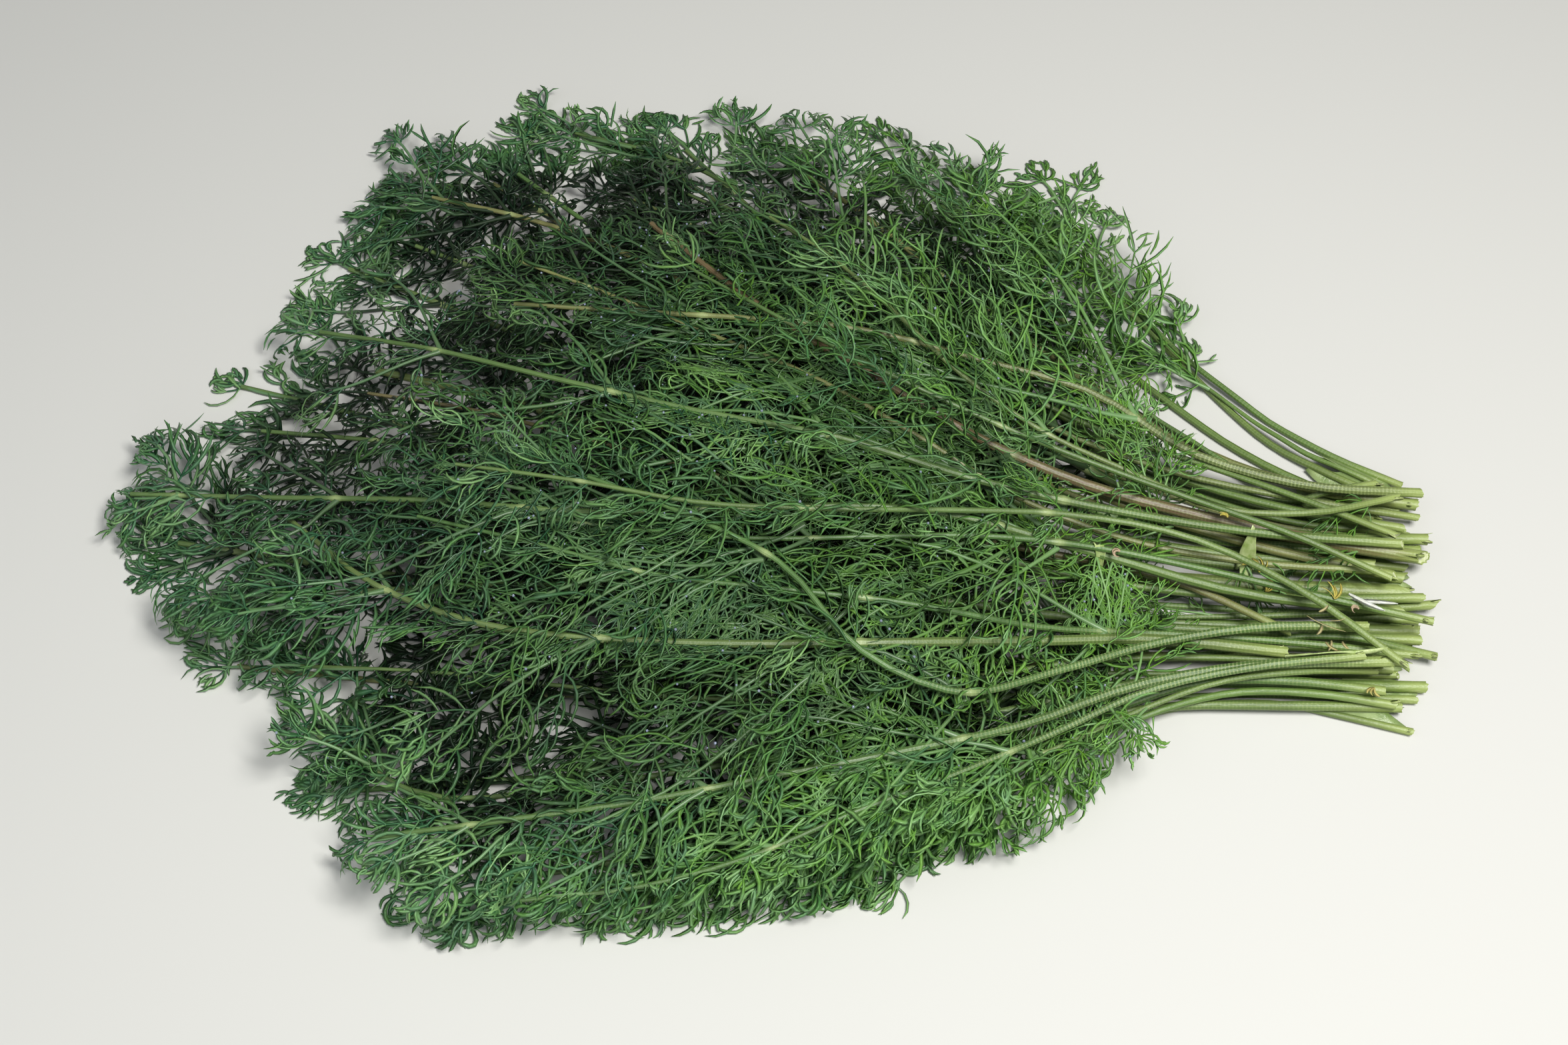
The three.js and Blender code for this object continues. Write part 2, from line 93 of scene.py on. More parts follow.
for name, place, width, power, tint in (
    # Place in metres, width, power and colour
    ("key_light", (0.26, -0.3, 0.83), 0.33, 9.7, (1, 0.985, 0.94)),
    ("fill_light", (-0.6, -0.35, 0.7), 0.9, 1.7, (0.92, 0.97, 1)),
    ("near_light", (0.05, -0.85, 0.42), 0.7, 1.1, (0.95, 0.98, 1)),
):
    light = bpy.data.objects.new(name, bpy.data.lights.new(name, "AREA"))
    light.data.shape = "DISK"
    light.data.size = width
    light.data.energy = power
    light.data.color = tint
    light.location = place
    light.rotation_euler = Vector(place).to_track_quat("Z", "Y").to_euler()
    bpy.context.scene.collection.objects.link(light)

# How the stems lie
# Each stem was laid on those before it: points in plan from the cut end to the tip, the share of the pile's
# height that it lies at, its radius at the cut, and its colour. It is lifted where it lacks room.
MIDDLE = np.array([2.4, 29.6, 0])
PILE_HEIGHT = 44
PILE_HEIGHT_AT_CUT = 13
PILE_HEIGHT_AT_TIPS = 14
PILE_RISING = (-175, -60)
PILE_FALLING = (10, 110)
PILE_MIDDLE_Y = 18
PILE_HALF_WIDTH = 150
PILE_MIDDLE_Y_AT_CUT = -17
PILE_HALF_WIDTH_AT_CUT = 48
PILE_NARROWING = (20, 150)
OUTLINE = np.array([
    [180, -52], [182, 30], [140, 40], [119, 68], [111, 95], [93, 114], [77, 134], [54, 141], [36, 158],
    [-29, 164], [-78, 162], [-104, 154], [-119, 129], [-134, 103], [-140, 74], [-164, 46], [-172, 12],
    [-155, -20], [-121, -40], [-114, -66], [-98, -86], [-86, -105], [-40, -105], [28, -94], [42, -84],
    [61, -82], [78, -72], [90, -54],
])
STATIONS = 9
CURVE_PARTS = 16
TAPER = 0.4
GAP = 0.4
FLAT = 0.3
STIFFNESS = 1.2
SETTLING = 60
ROOT_ROOM = 6
GREEN = "green"
TAN = "tan"
STEMS = [
    # On the table
    [[[165, -51], [125, -42], [85, -51], [45, -82]], 0, 0.95, GREEN],
    [[[163, -45], [85, -47], [5, -78], [-70, -94]], 0, 1.3, GREEN],
    [[[170, -38], [80, -38], [-20, -60], [-108, -68]], 0, 1.5, GREEN],
    [[[166, -30], [80, -29], [-40, -40], [-139, -31]], 0, 1.4, TAN],
    [[[171, -21], [80, -17], [-50, -10], [-160, 8]], 0, 1.6, GREEN],
    [[[167, -12], [80, -3], [-40, 30], [-150, 62]], 0, 1.4, GREEN],
    [[[170, -4], [85, 8], [-20, 56], [-124, 106]], 0, 1.5, GREEN],
    [[[168, 4], [90, 20], [0, 78], [-84, 140]], 0, 1.4, TAN],
    [[[170, 12], [106, 30], [30, 90], [-26, 154]], 0, 1.3, GREEN],
    [[[172, 18], [134, 36], [79, 93], [40, 148]], 0, 1.2, GREEN],
    [[[168, 22], [137, 44], [98, 99], [76, 128]], 0, 1.1, GREEN],
    [[[174, 27], [145, 45], [112, 80], [84, 138]], 0, 1.0, GREEN],
    # Low in the pile
    [[[161, -46], [120, -42], [70, -60], [10, -92]], 0.15, 1.1, GREEN],
    [[[158, -43], [110, -40], [60, -60], [-20, -92]], 0.3, 1.2, GREEN],
    [[[162, -34], [105, -36], [20, -60], [-80, -74], [-114, -56]], 0.35, 1.2, GREEN],
    [[[168, -11], [86, -4], [0, 20], [-110, 60]], 0.35, 2.2, GREEN],
    [[[175, 3], [110, 8], [50, 34], [-20, 84], [-76, 140]], 0.35, 1.4, GREEN],
    [[[162, -1], [90, 8], [10, 46], [-104, 110]], 0.3, 1.3, GREEN],
    [[[177, 6], [120, 12], [60, 50], [-36, 146]], 0.4, 1.5, GREEN],
    [[[176, 18], [130, 32], [66, 82], [10, 140]], 0.35, 1.5, TAN],
    [[[170, -26], [100, -22], [0, -18], [-140, -16]], 0.45, 1.3, GREEN],
    [[[172, -14], [100, -12], [0, 8], [-140, 40]], 0.45, 1.2, GREEN],
    [[[154, -34], [90, -33], [0, -50], [-120, -37]], 0.45, 0.9, GREEN],
    # Higher up
    [[[170, 8], [110, 26], [46, 75], [-23, 141], [-60, 160]], 0.5, 1.1, GREEN],
    [[[157, -36], [107, -44], [60, -66], [0, -90]], 0.5, 0.9, GREEN],
    [[[166, -7], [90, 16], [8, 57], [-45, 99], [-100, 126]], 0.6, 1.3, TAN],
    [[[135, -26], [96, -8], [20, 2], [-110, 46]], 0.6, 1.0, TAN],
    [[[176, 14], [120, 22], [64, 47], [-40, 122]], 0.6, 0.95, TAN],
    [[[167, 3], [128, 23], [64, 52], [-24, 122]], 0.7, 0.9, GREEN],
    [[[159, -37], [104, -41], [43, -65], [-38, -82], [-96, -88]], 0.8, 1.3, GREEN],
    [[[152, -37], [100, -45], [49, -71], [-13, -97], [-60, -104]], 0.85, 1.0, GREEN],
    [[[166, -20], [110, -14], [50, -3], [-50, -6], [-119, 7], [-172, 17]], 0.85, 1.3, GREEN],
    [[[134, -32], [91, -31], [19, -42], [-55, -40], [-93, -28], [-126, 2]], 0.85, 1.4, GREEN],
    [[[161, -7], [107, -3], [65, 9], [14, 38], [-70, 86]], 0.8, 0.95, TAN],
    [[[174, -2], [122, 8], [61, 24], [6, 58], [-34, 104]], 0.8, 1.75, TAN],
    [[[177, 20], [127, 23], [84, 48], [1, 58], [-70, 66]], 0.85, 1.2, TAN],
    [[[172, -25], [116, -13], [71, -8], [0, -14], [-60, -8]], 0.85, 1.0, GREEN],
    [[[167, -33], [105, -27], [54, -31], [-25, -26], [-90, -6]], 0.9, 1.0, GREEN],
    [[[168, 0], [115, 3], [43, 11], [-50, 33], [-125, 66]], 0.9, 1.2, GREEN],
    [[[163, -12], [129, 4], [80, 22], [20, 44], [-30, 84]], 0.95, 0.9, GREEN],
    # On top
    [[[155, -26], [110, -30], [69, -45], [33, -54], [0, -22], [-46, 0]], 1, 1.2, GREEN],
    [[[169, 16], [132, 7], [92, 22], [51, 44], [0, 100]], 1, 0.95, TAN],
    [[[163, -40], [120, -8], [71, -1], [3, -11], [-80, 4]], 1.05, 1.0, GREEN],
    # Short ones between the others
    [[[172, -17.2], [120, -13.2], [66, -9]], 0, 1.2, GREEN],
    [[[164, -34], [120, -33.5], [62, -33]], 0, 1.1, GREEN],
    [[[168, -25.6], [120, -25.2], [64, -24]], 0, 1.3, GREEN],
    [[[171, -8], [125, -4.5], [72, 1.6]], 0, 1.1, GREEN],
    [[[171, -0.4], [125, 6.2], [70, 20]], 0, 1.1, GREEN],
    [[[173, 8], [130, 16], [76, 40]], 0, 1.1, TAN],
    [[[166, 15.3], [135, 26], [90, 62]], 0, 1.0, GREEN],
    [[[171, 22.8], [146, 38], [118, 66]], 0, 0.9, GREEN],
    [[[167, -41.5], [120, -39.8], [70, -43]], 0, 1.1, GREEN],
    [[[174, -30], [140, -26], [100, -31]], 0.3, 1.1, GREEN],
    [[[176, -14], [140, -17], [95, -18]], 0.3, 1.2, GREEN],
    [[[172, 10], [140, 14], [100, 30]], 0.3, 1.1, GREEN],
    [[[166, 24], [140, 20], [110, 32]], 0.3, 1.0, GREEN],
]


def ease(x, start, end):
    """0 up to the start, then rising smoothly to 1 at the end."""
    t = np.clip((x - start) / (end - start), 0, 1)
    return t * t * (3 - 2 * t)


def pile_height(x, y):
    """How high the pile is at a place: highest in the middle, lower at the cut ends and at the tips."""
    rise = ease(x, *PILE_RISING) * (1 - ease(x, *PILE_FALLING))
    ends = np.where(x > 0, PILE_HEIGHT_AT_CUT, PILE_HEIGHT_AT_TIPS)
    ridge = ends + (PILE_HEIGHT - ends) * rise
    fan = 1 - ease(x, *PILE_NARROWING)
    half = PILE_HALF_WIDTH_AT_CUT + (PILE_HALF_WIDTH - PILE_HALF_WIDTH_AT_CUT) * fan
    middle = PILE_MIDDLE_Y_AT_CUT + (PILE_MIDDLE_Y - PILE_MIDDLE_Y_AT_CUT) * fan
    q = np.minimum(1, np.abs(y - middle) / half)
    return ridge * (1 - q * q)


def past_outline(points):
    """How far points lie outside the fronds' outline in plan, or inside it as a negative number."""
    start, end = OUTLINE, np.roll(OUTLINE, -1, axis=0)
    run = end - start
    off = points[..., None, :2] - start
    share = np.clip((off * run).sum(-1) / (run * run).sum(-1), 0, 1)
    away = np.linalg.norm(off - share[..., None] * run, axis=-1).min(axis=-1)
    x, y = points[..., None, 0], points[..., None, 1]
    crossed = (start[:, 1] > y) != (end[:, 1] > y)
    with np.errstate(all="ignore"):
        crossed &= x < start[:, 0] + run[:, 0] * (y - start[:, 1]) / run[:, 1]
    return np.where(crossed.sum(-1) % 2 == 1, -away, away)


def smooth_line(points, count):
    """A smooth curve through the points, which it reaches past at both ends, cut into equal steps."""
    knots = np.array([2 * points[0] - points[1], *points, 2 * points[-1] - points[-2]])
    t = np.arange(CURVE_PARTS)[:, None] / CURVE_PARTS
    fine = []
    for a, b, c, d in zip(knots, knots[1:], knots[2:], knots[3:]):
        fine.append(0.5 * (2 * b + (c - a) * t + (2 * a - 5 * b + 4 * c - d) * t * t
                           + (3 * b - a - 3 * c + d) * t * t * t))
    fine = np.vstack([*fine, points[-1:]])
    run = np.append(0, np.cumsum(np.linalg.norm(np.diff(fine, axis=0), axis=1)))
    want = run[-1] * np.arange(count) / (count - 1)
    return np.array([np.interp(want, run, column) for column in fine.T]).T


def piece_distance(p, q, r, s):
    """Least distance between straight pieces."""
    d1, d2, w = q - p, s - r, p - r
    a, b, c = (d1 * d1).sum(1), (d1 * d2).sum(1), (d1 * w).sum(1)
    e, f = (d2 * d2).sum(1), (d2 * w).sum(1)
    det = a * e - b * b
    with np.errstate(all="ignore"):
        u = np.where(det > 1e-9, np.clip((b * f - c * e) / det, 0, 1), 0)
        v = (b * u + f) / e
        u = np.where(v < 0, np.clip(-c / a, 0, 1), np.where(v > 1, np.clip((b - c) / a, 0, 1), u))
    v = np.clip(v, 0, 1)
    return np.linalg.norm(w + d1 * u[:, None] - d2 * v[:, None], axis=1)


laid = {"owner": np.empty(0), "from": np.empty((0, 3)), "to": np.empty((0, 3)), "radius": np.empty(0)}


def lay(owner, line, radii):
    """Notes the straight pieces of a line as laid."""
    laid["owner"] = np.append(laid["owner"], [owner] * (len(line) - 1))
    laid["from"] = np.vstack([laid["from"], line[:-1]])
    laid["to"] = np.vstack([laid["to"], line[1:]])
    laid["radius"] = np.append(laid["radius"], np.maximum(radii[:-1], radii[1:]))


def lack_of_room(owner, start, end, radius):
    """How much room a straight piece lacks. It need not be clear of its own stem near its root."""
    out = min(1, ROOT_ROOM / np.linalg.norm(end - start))
    p = np.where((laid["owner"] == owner)[:, None], start + (end - start) * out, start)
    need = radius + laid["radius"] + GAP
    low = np.minimum(laid["from"], laid["to"])[:, :2] - need[:, None]
    high = np.maximum(laid["from"], laid["to"])[:, :2] + need[:, None]
    far = ((low > np.maximum(p, end)[:, :2]) | (high < np.minimum(p, end)[:, :2])).any(axis=1)
    if far.all():
        return 0
    lack = need - piece_distance(p, np.broadcast_to(end, p.shape), laid["from"], laid["to"])
    return max(0, lack[~far].max())


def is_clear(owner, line, radius):
    return all(not lack_of_room(owner, a, b, radius) > 0 for a, b in zip(line, line[1:]))


def lay_stem(index, points, share, radius):
    """A stem's line and radii. It is lifted where it lacks room, and bends no more than a stalk can."""
    radii = radius * (1 - TAPER * np.arange(STATIONS) / (STATIONS - 1))
    plan = smooth_line(np.array(points, float), STATIONS)
    height = radii - FLAT + share * np.maximum(0, pile_height(plan[:, 0], plan[:, 1]) - 2 * radii)
    line = np.column_stack([plan, height])
    for _ in range(SETTLING):
        lift = np.zeros(STATIONS)
        for i in range(STATIONS - 1):
            lack = lack_of_room(index, line[i], line[i + 1], max(radii[i], radii[i + 1]))
            lift[i:i + 2] = np.maximum(lift[i:i + 2], lack)
        if lift.max() == 0:
            break
        line[:, 2] += lift
        for i in range(1, STATIONS - 1):
            line[i, 2] = max(line[i, 2], (line[i - 1, 2] + line[i + 1, 2]) / 2 - STIFFNESS)
    lay(index, line, radii)
    return line, radii


# Where the fronds grow
# Dill's fronds grow in opposite pairs at joints of the stem, the upper ones shorter. Each is turned or
# shortened until it is clear of the others, and keeps within the bunch's outline.
LEAFY_FROM = 80
LEAFY_SPREAD = 38
NODE_STEP = 72
NODE_SHRINK = 0.9
LAST_NODE = 8
FROND_LENGTH = 70
SHORTER_FROM = 0.3
SHORTER_BY = 0.6
FROND_ROOM = 0.64
LONG_FROND = 60
LEAFLETS_LONG = (0.36, 0.64)
LEAFLETS_SHORT = (0.5,)
SWEEP = 0.2
LENGTHS = (0.82, 0.36)
AWAY = (32, 22)
TILT = (-4, 22)
DROOP = (0.05, 0.15)
TURNS = (0, 8, -8, 16, -16, 24, -24, 34, -34, 46, -46)
SHORTENINGS = (1, 0.8, 0.62, 0.45)
SPREADS = (1, 0.7, 1.35)
FLUFF = 9
FLOOR_GAP = 0.9
SEED = 7001
SEED_STEP = 13
UP = np.array([0, 0, 1.0])


def draws(seed):
    """A small seeded random draw, the same on every machine."""
    state = seed
    while True:
        state = (state + 0x6D2B79F5) & 0xFFFFFFFF
        t = ((state ^ (state >> 15)) * (1 | state)) & 0xFFFFFFFF
        t = (t + ((t ^ (t >> 7)) * (61 | t) & 0xFFFFFFFF)) & 0xFFFFFFFF ^ t
        yield ((t ^ (t >> 14)) & 0xFFFFFFFF) / 4294967296


def unit(v):
    return v / np.linalg.norm(v, axis=-1, keepdims=True)


def axes_of(direction):
    """The ways along, to the side of and up from a direction."""
    along = unit(direction)
    side = unit(np.cross(UP, along))
    return along, side, np.cross(along, side)


def station_of(line, share):
    """The place at a share of a line, and the axes there."""
    f = share * (len(line) - 1)
    k = min(len(line) - 2, int(f))
    return line[k] + (line[k + 1] - line[k]) * (f - k), axes_of(line[k + 1] - line[k])


def frond_point(frond, s):
    """Points of a frond's rib, which arches over."""
    s = np.asarray(s, float)[..., None]
    p = frond["root"] + frond["along"] * s + frond["bend"] * (s * s / frond["length"])
    p[..., 2] = np.maximum(FLOOR_GAP, p[..., 2])
    return p


def grow_frond(index, root, axes, hand, length, spread, tilt, droop):
    """The first of the turned and shortened fronds that has room, or none."""
    along, side, up = axes
    for shortening in SHORTENINGS:
        for widening in SPREADS:
            for turn in TURNS:
                out = math.radians(spread * widening)
                rise = math.radians(tilt + turn)
                way = (along * math.cos(out) + side * (hand * math.sin(out) * math.cos(rise))
                       + up * (math.sin(out) * math.sin(rise)))
                frond = {"root": root, "length": length * shortening, "along": unit(way), "hand": hand,
                         "bend": along * SWEEP - UP * droop}
                places = LEAFLETS_LONG if frond["length"] > LONG_FROND else LEAFLETS_SHORT
                line = frond_point(frond, frond["length"] * np.array([0, *places, 1]))
                x, y, z = tip = line[-1]
                top = max(root[2], pile_height(x, y)) + FLUFF
                if z < top and past_outline(tip) < 0 and is_clear(index, line, FROND_ROOM):
                    lay(index, line, np.full(len(line), FROND_ROOM))
                    return frond
    return None


def grow_fronds(index, line):
    """A stem's joints, as shares of its length, and its fronds."""
    random = draws(SEED + SEED_STEP * index)

    def draw(least, span):
        return least + span * next(random)

    total = np.linalg.norm(np.diff(line, axis=0), axis=1).sum()
    joints, fronds = [], []
    at = draw(LEAFY_FROM, LEAFY_SPREAD)
    step = NODE_STEP
    while at < total - LAST_NODE:
        share = at / total
        root, axes = station_of(line, share)
        reach = FROND_LENGTH * (1 - SHORTER_BY * ease(share, SHORTER_FROM, 1))
        joints.append(share)
        for hand in (-1, 1):
            length = reach * draw(*LENGTHS)
            spread, tilt, droop = draw(*AWAY), draw(*TILT), draw(*DROOP)
            frond = grow_frond(index, root, axes, hand, length, spread, tilt, droop)
            if frond:
                fronds.append(frond)
        step *= NODE_SHRINK
        at += step
    return joints, fronds


stems = []
for index, (points, share, radius, colour) in enumerate(STEMS):
    line, radii = lay_stem(index, points, share, radius)
    stems.append({"index": index, "line": line, "radii": radii, "colour": colour})
for stem in stems:
    stem["joints"], stem["fronds"] = grow_fronds(stem["index"], stem["line"])

# Stalks
# A dill stalk is a ribbed tube, pale green with whitish ribs, faded to tan or purplish brown on some. It
# swells into a pale collar at each joint, where the fronds clasp it. Nodes sweep each along its line.
RIBS = 8
SIDES_PER_RIB = 3
SIDES_PER_HIDDEN_RIB = 2
SHOWING_SHARE = 0.8
RIB_DEPTH = 0.09
RINGS = 30
JOINT_RINGS = np.array([-4, -2.2, -1.1, 0, 1.1, 2.2, 4])
JOINT_SWELLING = 0.24
JOINT_WIDTH = 1.4
COLLAR_WIDTH = 1.8
WAVER = 0.05
SLIMMER = 0.25
DASH_PITCH = 1.05
# Distances from the cut end over which the skin turns bluish, the dashes fade and the ribs grow less pale
AMONG_LEAVES = (50, 120)
DASHES_FADE = (140, 80)
RIDGES_FADE = (120, 60)
BLUISH = 0.85
GRAIN = 1800
COLLAR_PALE = 0.65
WET_AT_CUT = 1.15
WET_END = 9
WETTEST = 0.9
FADING = {GREEN: (0, 0.25), TAN: (0.5, 0.9)}
FINE_LINE = 400
FIRST_RING = 1.5
SLANTS = (0.1, 0.3, 0.6, 1.0)
FRAYING = (-0.12, 0.2)
RIM = 0.2
PITH_SUNK = 0.25


def new_tree(name, kind, inputs, outputs):
    """A node tree with named inputs and outputs, and a function that adds a node to it."""
    tree = bpy.data.node_groups.new(name, kind)
    for label, socket, value in inputs:
        made = tree.interface.new_socket(label, in_out="INPUT", socket_type=socket)
        if value is not None:
            made.default_value = value
    for label, socket in outputs:
        tree.interface.new_socket(label, in_out="OUTPUT", socket_type=socket)
    add = partial(add_node, tree)
    return tree, add, add("NodeGroupInput"), add("NodeGroupOutput")


def add_node(tree, kind, links=(), **settings):
    """A node with its settings, whose inputs are set to values or linked to other nodes' outputs."""
    node = tree.nodes.new(kind)
    for key, value in settings.items():
        setattr(node, key, value)
    for key, value in dict(links).items():
        if isinstance(value, bpy.types.NodeSocket):
            tree.links.new(value, node.inputs[key])
        else:
            node.inputs[key].default_value = value
    return node


def scaled(add, a, b, c=0.0):
    """a times b, plus c."""
    return add("ShaderNodeMath", {0: a, 1: b, 2: c}, operation="MULTIPLY_ADD").outputs[0]


def wave_of(add, angle, operation="SINE"):
    return add("ShaderNodeMath", {0: angle}, operation=operation).outputs[0]


def ramp(add, value, low, high, to=1.0):
    """0 at a low value, rising evenly to 1 or another number at a high one."""
    links = {"Value": value, "From Min": low, "From Max": high, "To Max": to}
    return add("ShaderNodeMapRange", links).outputs[0]


def named(add, name):
    return add("GeometryNodeInputNamedAttribute", {"Name": name}, data_type="FLOAT").outputs["Attribute"]


def geometry_tree(name, inputs):
    return new_tree(name, "GeometryNodeTree", [("Geometry", "NodeSocketGeometry", None), *inputs],
                    [("Geometry", "NodeSocketGeometry")])


def end_tree(tree, add, into, out, geometry):
    """Ends a tree in real geometry of the material that it is given."""
    real = add("GeometryNodeRealizeInstances", {"Geometry": geometry})
    links = {"Geometry": real.outputs[0], "Material": into.outputs["Material"]}
    painted = add("GeometryNodeSetMaterial", links)
    tree.links.new(painted.outputs[0], out.inputs[0])
    return tree


def stalk_tree():
    """Sweeps a ribbed section along a path, and marks where on the section each point is."""
    tree, add, into, out = geometry_tree("sweep_stalk", [
        ("Ribs", "NodeSocketInt", RIBS), ("Sides", "NodeSocketInt", RIBS * SIDES_PER_RIB),
        ("Rib Depth", "NodeSocketFloat", RIB_DEPTH), ("Material", "NodeSocketMaterial", None)])
    path = add("GeometryNodeMeshToCurve", {"Mesh": into.outputs["Geometry"]})
    circle = add("GeometryNodeCurvePrimitiveCircle", {"Resolution": into.outputs["Sides"], "Radius": 1})
    turn = scaled(add, add("GeometryNodeSplineParameter").outputs["Factor"], math.tau)
    ridge = wave_of(add, scaled(add, turn, into.outputs["Ribs"]), "COSINE")
    profile = circle.outputs["Curve"]
    marks = {"ridge": ridge, "east": wave_of(add, turn, "COSINE"), "north": wave_of(add, turn)}
    for name, value in marks.items():
        links = {"Geometry": profile, "Name": name, "Value": value}
        profile = add("GeometryNodeStoreNamedAttribute", links, data_type="FLOAT").outputs["Geometry"]
    swell = scaled(add, ridge, into.outputs["Rib Depth"], 1.0)
    place = add("ShaderNodeVectorMath", {0: add("GeometryNodeInputPosition").outputs[0], "Scale": swell},
                operation="SCALE")
    ribbed = add("GeometryNodeSetPosition", {"Geometry": profile, "Position": place.outputs[0]})
    tube = add("GeometryNodeCurveToMesh", {
        "Curve": path.outputs["Curve"], "Profile Curve": ribbed.outputs[0],
        "Scale": named(add, "thickness"), "Fill Caps": True})
    return end_tree(tree, add, into, out, tube.outputs["Mesh"])


def skeleton(name, batches):
    """A mesh of bare edges: strands of points in millimetres, with each column's number on each point."""
    mesh = bpy.data.meshes.new(name)
    grids, start = [], 0
    for batch in batches:
        strands, points = batch["points"].shape[:2]
        grids.append(start + np.arange(strands * points).reshape(strands, points))
        start += strands * points
    edges = np.vstack([np.stack([grid[:, :-1], grid[:, 1:]], axis=-1).reshape(-1, 2) for grid in grids])
    mesh.vertices.add(start)
    places = np.vstack([batch["points"].reshape(-1, 3) for batch in batches]) * MM
    mesh.vertices.foreach_set("co", places.ravel())
    mesh.edges.add(len(edges))
    mesh.edges.foreach_set("vertices", edges.ravel())
    for column in (key for key in batches[0] if key != "points"):
        values = [np.broadcast_to(batch[column], batch["points"].shape[:2]).ravel() for batch in batches]
        mesh.attributes.new(column, "FLOAT", "POINT").data.foreach_set("value", np.concatenate(values))
    mesh.update()
    return mesh


def grown(name, mesh, tree, inputs):
    """The plain mesh object that a tree of nodes makes of a skeleton."""
    piece = bpy.data.objects.new(name, mesh)
    bpy.context.scene.collection.objects.link(piece)
    modifier = piece.modifiers.new("grow", "NODES")
    modifier.node_group = tree
    for socket in tree.interface.items_tree:
        if socket.in_out == "INPUT" and socket.name in inputs:
            modifier[socket.identifier] = inputs[socket.name]
    made = bpy.data.meshes.new_from_object(piece.evaluated_get(bpy.context.evaluated_depsgraph_get()))
    piece.modifiers.clear()
    piece.data = made
    made.name = name
    bpy.data.meshes.remove(mesh)
    return piece


def attribute(add, name):
    return add("ShaderNodeAttribute", attribute_name=name).outputs["Fac"]


def mix(add, factor, a, b, blend="MIX"):
    node = add("ShaderNodeMix", {"Factor": factor, 6: a, 7: b}, data_type="RGBA", blend_type=blend)
    return node.outputs[2]


def colour(red, green, blue):
    """A colour given as it looks on a screen, from 0 to 255, in linear light."""
    shares = np.array([red, green, blue]) / 255
    linear = np.where(shares > 0.04045, ((shares + 0.055) / 1.055) ** 2.4, shares / 12.92)
    return (*linear.tolist(), 1)


def mottling():
    """Soft blotches of waxy bloom and fine grain, as a mask and a height."""
    tree, add, into, out = new_tree("mottling", "ShaderNodeTree", [
        ("Blotch Scale", "NodeSocketFloat", 90), ("Grain Scale", "NodeSocketFloat", GRAIN)],
        [("Mask", "NodeSocketFloat"), ("Height", "NodeSocketFloat")])
    place = add("ShaderNodeTexCoord").outputs["Object"]
    for scale, detail, result in (("Blotch Scale", 3, "Mask"), ("Grain Scale", 2, "Height")):
        links = {"Vector": place, "Scale": into.outputs[scale], "Detail": detail}
        noise = add("ShaderNodeTexNoise", links)
        tree.links.new(noise.outputs["Fac"], out.inputs[result])
    return tree


def new_material(name):
    """A material, and a function that adds a node to it."""
    material = bpy.data.materials.new(name)
    material.use_nodes = True
    return material, partial(add_node, material.node_tree)


def finish_skin(material, add, base, height, strength, distance, roughness):
    """Gives a skin its colour, a bump of some strength and distance, and its roughness."""
    shader = material.node_tree.nodes["Principled BSDF"]
    bump = add("ShaderNodeBump", {"Strength": strength, "Distance": distance, "Height": height})
    material.node_tree.links.new(base, shader.inputs["Base Color"])
    material.node_tree.links.new(bump.outputs["Normal"], shader.inputs["Normal"])
    shader.inputs["Roughness"].default_value = roughness
    return material


MOTTLING = mottling()


def bloom_of(add, blotches, grain=GRAIN):
    """The mask and height of a skin's mottling."""
    scales = {"Blotch Scale": blotches, "Grain Scale": grain}
    return add("ShaderNodeGroup", scales, node_tree=MOTTLING).outputs


